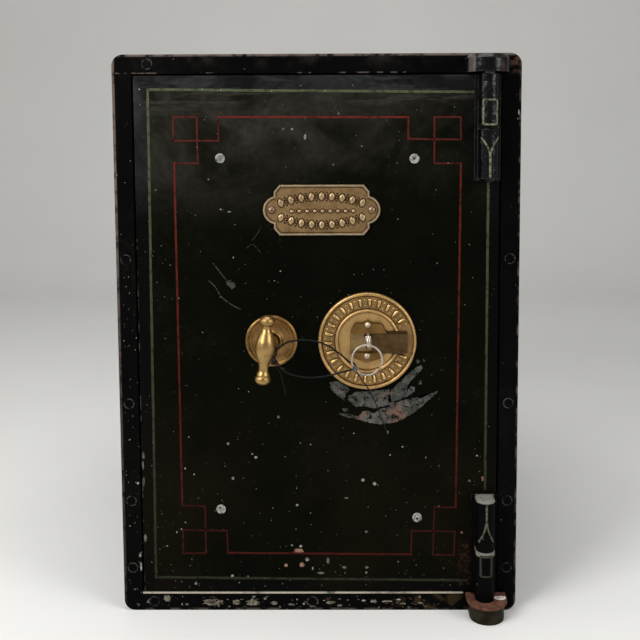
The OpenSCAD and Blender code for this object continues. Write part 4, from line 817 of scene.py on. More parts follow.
class SAFE_OT_hinge_finish(Operator):
    """Finishes the hinge brackets, pins and leaves, and paints the hinge stripes"""

    bl_idname = "safe.hinge_finish"
    bl_label = "Hinges"

    def execute(self, context):
        paint = context.scene.safe_paint
        pin = steel_finish("hinge_pin_steel", STAINS["dull_steel"], STAINS["pin_stain"])
        dress(["upper_hinge_pin", "lower_hinge_pin"], pin)
        self.upper_bracket(paint)
        self.lower_bracket()
        self.bare_spot()
        self.upper_leaf(paint)
        self.lower_leaf(paint)
        self.stripes()
        return {"FINISHED"}

    def upper_bracket(self, paint):
        """Thick black gloss, with a painted highlight down its left flank, and brown on its right."""
        upper, colour, rough, height = old_paint("upper_bracket_gloss", paint.body, 0.2, 0.02)
        # Painted highlight: a pale band down the left flank, where its side would catch the light.
        flank = within(upper, upper.x, hinge_x - 0.0225, hinge_x - 0.0165, 0.0012)
        colour = upper.blend(upper.both(flank, 0.55), colour, tone("bracket_flank_highlight"))
        right = upper.rise(upper.x, hinge_x + 0.008, hinge_x + 0.013)
        brown = upper.both(right, upper.rise(upper.clouds(60.0, 4.0), 0.36, 0.6))
        colour = upper.blend(upper.maths("MULTIPLY", brown, 0.6), colour, tone("bracket_brown"))
        edges = upper.edges(0.0012)
        colour, bare = worn_line(upper, colour, edges, tone("bracket_edge"), 90.0, 0.4, 0.6, 0.6)
        swell = upper.maths("MULTIPLY_ADD", upper.clouds(55.0, 2.0), 4.0, height)
        rough = upper.maths("MULTIPLY_ADD", bare, 0.3, upper.maths("MULTIPLY", rough, 0.45))
        dress(["upper_hinge_bracket"], upper.done(colour, rough, 0.0, swell, 0.0004, 0.2, 0.0009))

    def lower_bracket(self):
        """Rust on its upper face, and olive stains over the paint of its sides."""
        lower, colour, rough, height = old_paint("lower_bracket_rusty", tone("lower_bracket"), 0.15, 0.02)
        upward = lower.rise(lower.z, sill_top - 0.003, sill_top - 0.0024)
        patchy = lower.rise(lower.clouds(160.0, 5.0, 0.6), 0.35, 0.65)
        rust = lower.blend(patchy, tone("bracket_rust_light"), tone("bracket_rust_dark"))
        colour = lower.blend(upward, colour, rust)
        speckle = lower.both(upward, lower.rise(lower.clouds(330.0, 3.0), 0.6, 0.7))
        speckle = lower.maths("MULTIPLY", speckle, 0.5)
        colour = lower.blend(speckle, colour, tone("bracket_speckle"))
        olive = lower.rise(lower.clouds(90.0, 4.0), 0.42, 0.64)
        olive = lower.both(lower.maths("SUBTRACT", 1.0, upward), lower.maths("MULTIPLY", olive, 0.7))
        colour = lower.blend(olive, colour, tone("bracket_olive"))
        rough = lower.maths("MULTIPLY_ADD", upward, 0.3, rough)
        dress(["lower_hinge_bracket"], lower.done(colour, rough, 0.0, height, 0.0002, 0.06, 0.0009))

    def bare_spot(self):
        """The bare spot on the lower bracket's upper face."""
        pale = chip_tone("bracket_chip")

        def on_bracket(u, v, height):
            return Vector((u, front + v, sill_top + height))

        bm = bmesh.new()
        flake(bm, ragged(BRACKET_SPOT, 0.001, 0.0007, 3.0), on_bracket)
        piece("bracket_bare_spot", bm, "cabinet", pale, smooth=False)

    def upper_leaf(self, paint):
        """Thick gloss paint, rubbed down both sides of the barrel."""
        leaf, colour, rough, height = old_paint("upper_leaf_gloss", paint.body, 0.15, 0.02)
        side = leaf.most(
            within(leaf, leaf.x, hinge_x - 0.0192, hinge_x - 0.0168, 0.0005),
            within(leaf, leaf.x, hinge_x + 0.0104, hinge_x + 0.0116, 0.0004),
        )
        colour, bare = worn_line(leaf, colour, side, tone("leaf_side"), 90.0, 0.34, 0.56, 0.6)
        edges = leaf.edges(0.0008)
        colour, worn = worn_line(leaf, colour, edges, tone("leaf_edge"), 110.0, 0.35, 0.6, 0.6)
        rubbed = leaf.most(bare, worn)
        rough = leaf.maths("MULTIPLY_ADD", rubbed, 0.3, leaf.maths("MULTIPLY", rough, 0.45))
        swell = leaf.maths("MULTIPLY_ADD", leaf.clouds(70.0, 3.0), 4.0, height)
        dress(["upper_hinge_leaf"], leaf.done(colour, rough, 0.0, swell, 0.0004, 0.22, 0.0005))

    def lower_leaf(self, paint):
        """Dull paint, bare at the barrel's upper end and above its groove."""
        low, colour, rough, height = old_paint("lower_leaf_dull", paint.body, 0.12, 0.02)
        groove = lower_foot + 0.0537
        flank = within(low, low.z, groove - 0.0048, groove - 0.0002, 0.0004)
        end = within(low, low.z, lower_leaf_top - 0.0034, lower_leaf_top + 0.001, 0.0004)
        broken = low.rise(low.clouds(260.0, 4.0), 0.2, 0.46)
        ahead = low.both(low.rise(low.y, front - 0.003, front - 0.007), broken)
        round_it = low.both(within(low, low.x, hinge_x - 0.0102, hinge_x + 0.0102), ahead)
        bare = low.both(low.most(flank, end), round_it)
        colour = low.blend(low.maths("MULTIPLY", bare, 0.85), colour, tone("leaf_bare"))
        edges = low.edges(0.0008)
        colour, _ = worn_line(low, colour, edges, tone("lower_leaf_edge"), 110.0, 0.4, 0.62, 0.5)
        dress(["lower_hinge_leaf"], low.done(colour, rough, 0.0, height, 0.00012, 0.02, 0.0005))
        dogs = steel_finish("dog_steel", STAINS["dull_steel"], STAINS["dog_stain"])
        dress(["leaf_rivets", "hinge_dogs"], dogs)

    def stripes(self):
        """Striping round both barrels: a frame, a fork and a stem on each."""
        finish = Finish("hinge_stripe_paint")
        broken = finish.rise(finish.clouds(300.0, 4.0), 0.3, 0.6)
        # Painted shade and light: darkest at the lower barrel's foot, palest high up, as if lit from above
        upward = finish.rise(finish.z, lower_foot + 0.052, lower_foot + 0.06)
        low = finish.blend(upward, tone("stripe_foot"), tone("stripe_low"))
        pale = finish.blend(finish.rise(finish.z, 0.2, 0.4), low, tone("stripe_high"))
        colour = finish.blend(broken, tone("stripe_worn"), pale)
        line = finish.done(colour, 0.5, 0.0, broken, 0.00005, 0.08)
        bm = bmesh.new()
        self.striping(bm, leaf_high.z, -1, UPPER_STRIPES, 1)
        self.striping(bm, lower_foot, 1, LOWER_STRIPES, 9)
        piece("hinge_stripes", bm, "door", line, smooth=False)

    def striping(self, bm, start, way, sizes, seed):
        """One barrel's lines, counted up or down from where they start."""
        width = STRIPE_WIDTH
        box, half, fork, reach = sizes
        box = [start + way * z for z in box]
        tips, split, end = (start + way * z for z in fork)
        for side in (-1, 1):
            post = [(side * half, z) for z in box]
            painted_line(bm, post, width * 1.3, on_barrel, seed=side + seed)
            arm = smooth_path([
                (side * reach, tips, 0), (side * reach * 0.55, tips + (split - tips) * 0.28, 0),
                (side * reach * 0.2, tips + (split - tips) * 0.62, 0), (0, split, 0),
            ], 6)
            arm = [(p.x, p.y) for p in arm]
            painted_line(bm, arm, width, on_barrel, seed=side + seed + 4, stride=0.001)
        for z in box:
            painted_line(bm, [(-half, z), (half, z)], width, on_barrel, seed=z, stride=0.001)
        painted_line(bm, [(0, split), (0.0002, end)], width * 1.2, on_barrel, seed=seed + 2.2)


# The door's filled holes as (x, z), in metres
PLUGS = ((-0.1029, 0.5004), (0.1034, 0.4993), (-0.1075, 0.1155), (0.1074, 0.1059))
# The pits in them as (x, z, radius, raggedness)
PLUG_HOLES = ((0.1034, 0.4993, 0.0015, 0.4), (0.1076, 0.1045, 0.0016, 0.5), (-0.1083, 0.117, 0.0012, 0.8))
# The green field inside the black border, in metres
FIELD_HALF_WIDTH = 0.1795
FIELD_HALF_HEIGHT = 0.2672
FIELD_MIDDLE = 0.3045


class SAFE_OT_door_paint(Operator):
    """Paints the door: green field, black border, haze, rust and specks"""

    bl_idname = "safe.door_paint"
    bl_label = "Door paint"

    def execute(self, context):
        paint = context.scene.safe_paint
        finish, colour, rough, height = old_paint("door_green", paint.door, 0.12, 0.02)
        outside = self.outside_field(finish)
        colour = finish.blend(finish.maths("MULTIPLY", outside, 0.75), colour, paint.body)
        # The colour of the bloom and painted sheen, greyer over the black border.
        bloom = finish.blend(outside, paint.haze, tone("border_mist_and_sheen"))
        colour = finish.blend(finish.maths("MULTIPLY", self.mist_and_sheen(finish), 0.85), colour, bloom)
        colour = self.warm_and_rusty(finish, colour)
        hang = finish.rise(finish.x, -door_high.x + 0.0012, -door_high.x + 0.0006)
        colour, _ = worn_line(finish, colour, hang, tone("door_edge"), 70.0, 0.5, 0.64, 0.45)
        dress(["door_plate"], finish.done(colour, rough, 0.0, height, 0.00012, 0.02, 0.0005))
        self.casing()
        self.plugs()
        return {"FINISHED"}

    def outside_field(self, finish):
        """1 in the black border and 0 in the green field."""
        across = finish.maths("SUBTRACT", finish.maths("ABSOLUTE", finish.x), FIELD_HALF_WIDTH)
        from_middle = finish.maths("ABSOLUTE", finish.maths("SUBTRACT", finish.z, FIELD_MIDDLE))
        up = finish.maths("SUBTRACT", from_middle, FIELD_HALF_HEIGHT)
        return finish.rise(finish.most(across, up), -0.0012, 0.0012)

    def mist_and_sheen(self, finish):
        """Cloudy bloom high on the door, strongest at the left, with a wiped band at the top. It is partly
        bloom and partly a painted sheen of the light from the upper left.
        """
        high = finish.rise(finish.z, 0.405, 0.56)
        left = finish.rise(finish.x, 0.15, -0.1)
        drift = finish.rise(finish.clouds(11.0, 6.0, 0.62, None, 0.7), 0.34, 0.64)
        sideways = finish.both(high, finish.maths("MULTIPLY_ADD", left, 0.68, 0.32))
        mist_and_sheen = finish.both(sideways, drift)
        wiped = finish.rise(finish.clouds(1.0, 4.0, 0.62, finish.stretched(16, 16, 120)), 0.42, 0.64)
        band = finish.both(finish.rise(finish.z, 0.52, 0.572), finish.maths("MULTIPLY", wiped, 0.9))
        mist_and_sheen = finish.most(mist_and_sheen, band)
        grain = finish.maths("MULTIPLY_ADD", finish.clouds(150.0, 7.0, 0.8), 1.9, -0.15)
        # Painted sheen: least lifts the upper left evenly, under the bloom's clouds.
        least = finish.maths("MULTIPLY", finish.both(high, left), 0.12)
        return finish.maths("MULTIPLY_ADD", mist_and_sheen, grain, least, clamp=True)

    def warm_and_rusty(self, finish, colour):
        """A warm cast low on the door, and a strip of rust beside the lower hinge."""
        cast = finish.rise(finish.clouds(7.0, 3.0), 0.4, 0.62)
        warm = finish.both(finish.rise(finish.z, 0.32, 0.1), cast)
        colour = finish.blend(finish.maths("MULTIPLY", warm, 0.35), colour, tone("door_warm"))
        across = within(finish, finish.x, 0.153, 0.1665, 0.002)
        strip = finish.both(across, within(finish, finish.z, 0.028, 0.078, 0.004))
        rust = finish.both(strip, finish.rise(finish.clouds(300.0, 4.0), 0.44, 0.66))
        return finish.blend(finish.maths("MULTIPLY", rust, 0.38), colour, tone("door_rust"))

    def casing(self):
        """Dull paint on the door's casing, worn along its edges, and its steel screws."""
        back, colour, _, height = old_paint("casing_dull", tone("casing"), 0.5, 0.06)
        edges = back.edges(0.001)
        colour, _ = worn_line(back, colour, edges, STAINS["casing_edge"], 90.0, 0.4, 0.6, 0.7)
        dress(["door_casing"], back.done(colour, 0.6, 0.0, height, 0.0001, 0.3, 0.0008))
        screws = steel_finish("screw_steel", STAINS["screw_steel"], STAINS["screw_stain"])
        dress(["casing_screws"], screws)

    def plugs(self):
        """The four filled holes, each worn in its own way."""
        finish = Finish("plug_filler")
        mottle = finish.rise(finish.clouds(420.0, 4.0), 0.3, 0.62)
        pale = finish.blend(mottle, tone("plug_dark"), tone("plug_light"))
        grey = finish.blend(mottle, tone("grey_plug_dark"), tone("grey_plug_light"))
        upper_left = finish.both(finish.rise(finish.x, -0.09, -0.095), finish.rise(finish.z, 0.4, 0.45))
        colour = finish.blend(upper_left, pale, grey)
        holes = finish.most(*(finish.spot(*hole, 400.0) for hole in PLUG_HOLES))
        colour = finish.blend(holes, colour, tone("plug_hole"))
        dress(["door_plugs"], finish.done(colour, 0.7, 0.0, mottle, 0.0003, 0.2))
        rim = Finish("plug_rim_worn")
        broken = rim.rise(rim.clouds(300.0, 3.0), 0.3, 0.6)
        colour = rim.blend(broken, tone("plug_rim_dark"), tone("plug_rim_light"))
        worn = rim.done(colour, 0.6, 0.0, broken, 0.0001, 0.2)
        bm = bmesh.new()
        worn_rings(bm, PLUGS, radius=0.0044, width=0.0013, lift=0.0002, sides=24, seed_step=2.7)
        piece("plug_rims", bm, "door", worn, smooth=False)


# The outer pinstripe: its long run, and its stretch between the hinges, in metres
GREEN_LINE = [(0.1664, 0.5693), (-0.1782, 0.5733), (-0.1806, 0.0378), (0.1636, 0.0341)]
GREEN_RIGHT = [(0.1819, 0.474), (0.1814, 0.136)]
# The inner pinstripe as one closed line with a looped square in each corner, in millimetres
RED_LINE = [
    (-152.5, 519.2), (-104.4, 519), (-104, 544.1), (96.9, 543.2), (96.9, 520.3), (152.6, 519.2),
    (152.4, 543), (124.4, 543.1), (124.6, 494.2), (152.8, 494.1), (149.6, 117.3), (126.3, 117.3),
    (124.8, 63.1), (148, 63.1), (148.9, 89.6), (101.4, 90.9), (100.6, 63.9), (-100.7, 65.7),
    (-101.3, 91), (-149.7, 91.9), (-150.2, 65.4), (-125, 65.4), (-125.1, 118.9), (-150.1, 119.7),
    (-151.7, 495.3), (-126.5, 495.2), (-126.9, 544.2), (-152, 544.3),
]
# Stretches of it that are painted with the broad brush, by the number of their first point
RED_BROAD = (2, 9, 16, 23)
# The step between stretches that cross, so that their faces don't coincide, in metres
CROSSING_LIFT = 0.00002


class SAFE_OT_pinstripes(Operator):
    """Paints the green and red pinstripes on the door"""

    bl_idname = "safe.pinstripes"
    bl_label = "Pinstripes"

    def execute(self, context):
        paint = context.scene.safe_paint
        self.green(paint)
        self.red(paint)
        return {"FINISHED"}

    def line_paint(self, name, colour, under, least):
        """Line paint that grows darker towards the foot of the door, as painted shade of light from above."""
        finish = Finish(name)
        wear = finish.rise(finish.clouds(120.0, 5.0, 0.65), 0.34, 0.52)
        chips = finish.specks(300.0, 0.3, 0.06)
        line = finish.blend(wear, under, colour)
        line = finish.blend(finish.maths("MULTIPLY", chips, 0.6), line, bpy.context.scene.safe_paint.speck)
        # Painted shade: clean, the share of the line's own colour, falls with lift towards the door's foot
        lift = finish.maths("MULTIPLY_ADD", finish.z, 1 / 0.51, -0.05 / 0.51, clamp=True)
        clean = finish.maths("MULTIPLY_ADD", finish.maths("POWER", lift, 1.6), 1 - least, least)
        line = finish.blend(clean, (0.0, 0.0, 0.0), line)
        return finish.done(line, 0.5, 0.0, wear, 0.00005, 0.04)

    def green(self, paint):
        """The outer line: one long run, and a stretch between the hinges."""
        material = self.line_paint("green_line_paint", paint.green_line, tone("green_worn"), 0.3)
        bm = bmesh.new()
        painted_line(bm, GREEN_LINE, paint.green_width, on_front, seed=1.0)
        painted_line(bm, GREEN_RIGHT, paint.green_width, on_front, seed=5.0)
        piece("green_pinstripe", bm, "door", material, smooth=False)

    def red(self, paint):
        """The inner line, whose corners are thinner and darker than its long stretches."""
        colour = tuple(c * 0.9 for c in paint.red_line)
        bright = self.line_paint("red_line_paint", colour, tone("red_worn"), 0.45)
        colour = tuple(c * 0.62 + 0.003 for c in paint.red_line)
        thin = self.line_paint("red_corner_paint", colour, tone("red_corner_worn"), 0.42)
        corners = [i for i in range(len(RED_LINE)) if i not in RED_BROAD]
        self.red_part("red_pinstripe", bright, paint, RED_BROAD)
        self.red_part("red_pinstripe_corners", thin, paint, corners)

    def red_part(self, name, material, paint, parts):
        """Some stretches of the inner line."""
        count = len(RED_LINE)
        bm = bmesh.new()
        for i in parts:
            a, b = RED_LINE[i], RED_LINE[(i + 1) % count]
            width = paint.red_width * (1.0 if i in RED_BROAD else 0.82)
            reach = width / 2
            start, end = Vector(a) / 1000, Vector(b) / 1000
            along = (end - start).normalized() * reach
            line = [start - along, end + along]
            painted_line(bm, line, width, in_front(CROSSING_LIFT * (i % 3)), seed=i * 1.3)
        piece(name, bm, "door", material, smooth=False)


# Outlines of the bare patches and the larger chips, in millimetres
BARE_PATCHES = [
    [
        (12.6, 257), (20.2, 258.4), (29.9, 253.5), (34, 249.2), (29.8, 243.6), (27.7, 237.2),
        (21.5, 242.2), (13.3, 250),
    ],
    [
        (31.9, 237.9), (32.7, 241.8), (40.3, 246.5), (50.9, 247.2), (63.1, 248), (76.8, 249.5),
        (78.3, 241.7), (76, 235.5), (87.4, 233.9), (78.3, 232.4), (67.6, 230.1), (60, 228.5),
        (49.4, 230.9), (40.2, 230.1), (35.7, 234.8),
    ],
    [
        (76.8, 244.9), (81, 250.5), (86.5, 256.2), (93.4, 263.2), (100.3, 268.8), (107.1, 274.4),
        (112, 275.8), (112.7, 272.3), (108.5, 267.4), (101.7, 260.4), (96.2, 253.3),
        (104.5, 251.9), (104.5, 247.7), (94.8, 240.6), (85.1, 237.1), (76.8, 235), (75.5, 237.8),
    ],
    [
        (21.5, 223), (32.5, 222.3), (43.6, 219.5), (47.8, 225.1), (53.3, 225.8), (60.2, 222.3),
        (67.2, 227.9), (74.1, 229.3), (81, 233.6), (93.4, 237.8), (105.9, 240.6), (111.4, 239.2),
        (119.7, 244.8), (129.3, 247.6), (127.9, 244.8), (119.7, 237.7), (112.8, 230.7),
        (101.8, 222.2), (90.7, 215.8), (81, 212.3), (67.2, 210.9), (53.3, 212.3), (42.2, 216.6),
        (32.5, 218.1), (25.6, 220.2),
    ],
    [
        (26.5, 228.6), (31.1, 228.6), (32.6, 225.5), (29.5, 224.4), (26.8, 225.9),
    ],
    [
        (106.3, 282), (109.3, 282), (110.1, 279.6), (107.8, 278.1), (105.8, 279.7),
    ],
    [
        (108.6, 258.8), (111.7, 258.7), (112, 255.6), (109.4, 254.1), (108, 256),
    ],
    [
        (113.1, 282.7), (115.8, 281.9), (115.4, 279.2), (113.1, 279.6),
    ],
    [
        (-98.7, 368.4), (-93.4, 369.6), (-88.2, 364.6), (-87.8, 361.5), (-92.8, 360), (-95, 362.6),
        (-98, 365.4),
    ],
]
# Chips in the door's paint as (x, z, half width, half height), in millimetres
CHIPS_PALE = [
    (-98.9, 189.1, 1.8, 1.7), (-136.5, 154.7, 1.1, 1.2), (-93.9, 150.3, 1.9, 2),
    (-68.7, 173.7, 2, 1.8), (-72.5, 177.6, 1.1, 1), (-146.3, 161.4, 1.1, 1.2),
    (-147, 100.4, 1.3, 1), (-151.5, 92.8, 1.1, 1.1), (-156.7, 89.3, 1, 1.2),
    (-142.5, 51.1, 1.1, 1), (-136.8, 30.6, 1.8, 1.6), (-88.7, 31.4, 1.1, 1.1),
    (-78.9, 38.6, 1, 1.2), (-96.2, 39.3, 2, 1.7), (-24, 120, 1.8, 1.6), (-20, 189.7, 1, 1.1),
    (-8.8, 188, 1, 1), (-167.6, 73.6, 1.2, 1.1), (-7.5, 47.8, 1.1, 2.2), (-30.2, 74.3, 1.7, 1.4),
    (-20.5, 73.2, 1.8, 1.9), (-13.3, 58.2, 2.8, 2.4), (48.2, 148.2, 2.3, 2.1),
    (60.8, 144, 2.3, 2.1), (91.3, 185.4, 1, 1.1), (77.7, 176.3, 1, 1), (116.7, 173.4, 1.1, 1),
    (51.9, 89.5, 1.9, 1.7), (172.4, 175.2, 1.2, 1.1), (164.3, 147.2, 1.9, 1.7),
    (86.9, 55.3, 1.2, 1), (38.3, 200.4, 1, 1), (75, 201.4, 1.1, 2.4), (9.6, 56.7, 1.9, 4.4),
    (-187, 573.6, 1, 1.1), (-186.6, 557.6, 0.9, 1), (-16.7, 576.8, 1.6, 0.8),
    (-35.6, 531.2, 1.6, 1.4), (-26.1, 531.1, 1.3, 1.4), (-12.4, 522.6, 1.6, 3.8),
    (-93.8, 443.3, 2.4, 0.7), (-90.2, 394.1, 1, 1), (-39.8, 379, 1, 1), (-115.5, 478, 1.1, 1),
    (-103, 446, 1.1, 1), (-151, 372, 1.3, 1.1), (-150, 350, 1.2, 1.1), (23, 547, 1.6, 1.3),
]
CHIPS_DULL = [
    (1, 42.5, 5, 1.5), (27.5, 49, 2.6, 1.8), (52.3, 49, 2.4, 1.6), (51.6, 43, 1.8, 1.6),
    (-43.5, 219, 2, 1.8), (30, 128, 2.6, 1.2), (-191.5, 177, 1.6, 4.9), (-192.2, 165.1, 1, 5.6),
    (-191.8, 146.2, 1.5, 6.3), (-191.4, 82.4, 1.7, 5.6), (-158, 386, 1.3, 1), (-172, 467, 1.2, 1),
    (-130, 440, 1.3, 0.9), (54, 250, 1.2, 1),
]
CHIPS_BROWN = [
    (-22.8, 67.4, 6.7, 3.4), (-36.9, 51.4, 2.2, 2.1), (-19.1, 52.1, 3.2, 3.1),
    (178.7, 149.4, 1.7, 3.3), (156.5, 88.7, 1.8, 1.6),
]
# Pink primer in the bare patches as (x, z, radius, raggedness, grain)
PRIMER = (
    (0.0838, 0.2222, 0.013, 1.5, 50.0), (0.0478, 0.2166, 0.009, 1.5, 60.0),
    (0.0699, 0.2414, 0.008, 1.8, 80.0),
)
# How many fine chips are scattered over the door
FINE_CHIPS = 330
# Scratches as (width, points), in millimetres
SCRATCHES = [
    (0.9, [(-112, 388), (-106, 380), (-99, 371), (-93, 366)]),
    (1.0, [(-117, 369), (-110, 362), (-104, 352), (-96, 345), (-88, 340), (-83, 338)]),
    (0.4, [(-70, 412), (-64, 420), (-60, 428)]),
    (0.35, [(-76, 404), (-69, 408), (-60, 398)]),
    (0.6, [(18, 560), (20, 553), (24, 546)]),
]


class SAFE_OT_paint_losses(Operator):
    """Lays the bare patches, chips and scratches on the door"""

    bl_idname = "safe.paint_losses"
    bl_label = "Paint losses"

    def execute(self, context):
        self.patches(context.scene.safe_paint)
        self.chips()
        self.scratches()
        return {"FINISHED"}

    def patches(self, paint):
        """Bare metal below the escutcheon, with pink primer and paint left over in places."""
        finish = Finish("bare_patch_metal")
        mottle = finish.clouds(85.0, 6.0, 0.7)
        grey = finish.blend(finish.rise(mottle, 0.3, 0.7), tone("patch_dark"), tone("patch_light"))
        lower, left, upper = (finish.spot(*place) for place in PRIMER)
        pink = finish.most(lower, left, finish.maths("MULTIPLY", upper, 0.5))
        pink = finish.both(pink, finish.rise(finish.clouds(170.0, 5.0), 0.34, 0.6))
        colour = finish.blend(finish.maths("MULTIPLY", pink, 0.85), grey, tone("primer"))
        left_over = finish.rise(finish.clouds(190.0, 6.0, 0.7, None, 0.6), 0.52, 0.59)
        colour = finish.blend(left_over, colour, paint.door)
        bare = finish.done(colour, 0.62, 0.0, mottle, 0.0002, 0.08)
        bm = bmesh.new()
        for i, outline in enumerate(BARE_PATCHES):
            metres = [(x / 1000, z / 1000) for x, z in outline]
            flake(bm, ragged(metres, 0.0008, 0.0014, i * 5.0), on_front)
        piece("bare_patches", bm, "door", bare, smooth=False)

    def chips(self):
        """The larger chips in their places, and a scatter of fine ones, dense at the left and low down."""
        pale = chip_tone("paint_chip_pale")
        dull = chip_tone("paint_chip_dull")
        brown = chip_tone("paint_chip_brown")
        chip_piece("paint_chips", "door", pale, CHIPS_PALE, 11)
        chip_piece("paint_chips_brown", "door", brown, CHIPS_BROWN, 12)
        spread = random.Random(21)
        fine = ([], [])
        while len(fine[0]) + len(fine[1]) < FINE_CHIPS:
            x = -190 + 376 * spread.random() ** 1.25
            z = 25 + 560 * spread.random() ** 1.9
            away = math.hypot(x / 1000 - lock_x, z / 1000 - lock_z)
            if away < lock_r or x > 158 and not 140 < z < 470:
                continue
            size = 0.3 + 0.5 * spread.random() ** 2.5
            shape = (x, z, size * spread.uniform(0.7, 1.2), size * spread.uniform(0.7, 1.3))
            fine[0 if spread.random() < 0.25 else 1].append(shape)
        chip_piece("fine_chips_pale", "door", pale, fine[0], 31)
        chip_piece("paint_chips_dull", "door", dull, CHIPS_DULL + fine[1], 32)

    def scratches(self):
        """A few long scratches, at the left and at the top."""
        finish = Finish("scratch_grey")
        broken = finish.rise(finish.clouds(340.0, 4.0), 0.35, 0.6)
        colour = finish.blend(broken, tone("scratch_dark"), tone("scratch_light"))
        grey = finish.done(colour, 0.6, 0.0, broken, 0.00005, 0.06)
        bm = bmesh.new()
        for i, (width, points) in enumerate(SCRATCHES):
            path = smooth_path([(x / 1000, z / 1000, 0) for x, z in points], 6)
            painted_line(bm, [(p.x, p.y) for p in path], width / 1000, on_front, seed=i * 1.7)
        piece("door_scratches", bm, "door", grey, smooth=False)


# The name plate's outline, in metres from its middle: the two ends of a cut corner, and its ears
CUT_TOP = (0.0448, 0.027)
CUT_SIDE = (0.0509, 0.0197)
EAR_MIDDLE = 0.04738
EAR_RADIUS = 0.01512
# Its curved rows: how many leaves and groups of beads each has, its half length, the lean at its ends
# and, upper row first, which way it curves with the height of its middle and the fall to its ends
ROW_COUNT = 17
ROW_HALF = 0.0435
ROW_LEAN = 0.36
ROWS = ((1, 0.0146, 0.0071), (-1, 0.0160, 0.008))
# Half width and half height of each ornament and of the tarnish stain and painted shadow round it
LEAF, LEAF_SHADOW_STAIN = (0.0033, 0.005), (0.0038, 0.0056)
BEAD, BEADS_SHADOW_STAIN = (0.0008, 0.001), (0.0018, 0.0054)
LOZENGE, LOZENGE_SHADOW_STAIN = (0.0024, 0.0021), (0.0026, 0.0029)
SMALL_BEAD, SMALL_BEAD_SHADOW_STAIN = (0.001, 0.001), (0.0017, 0.0018)
# The steps from bead to bead and from lozenge to small bead
BEAD_STEP = 0.0026
LOZENGE_STEP = 0.0041


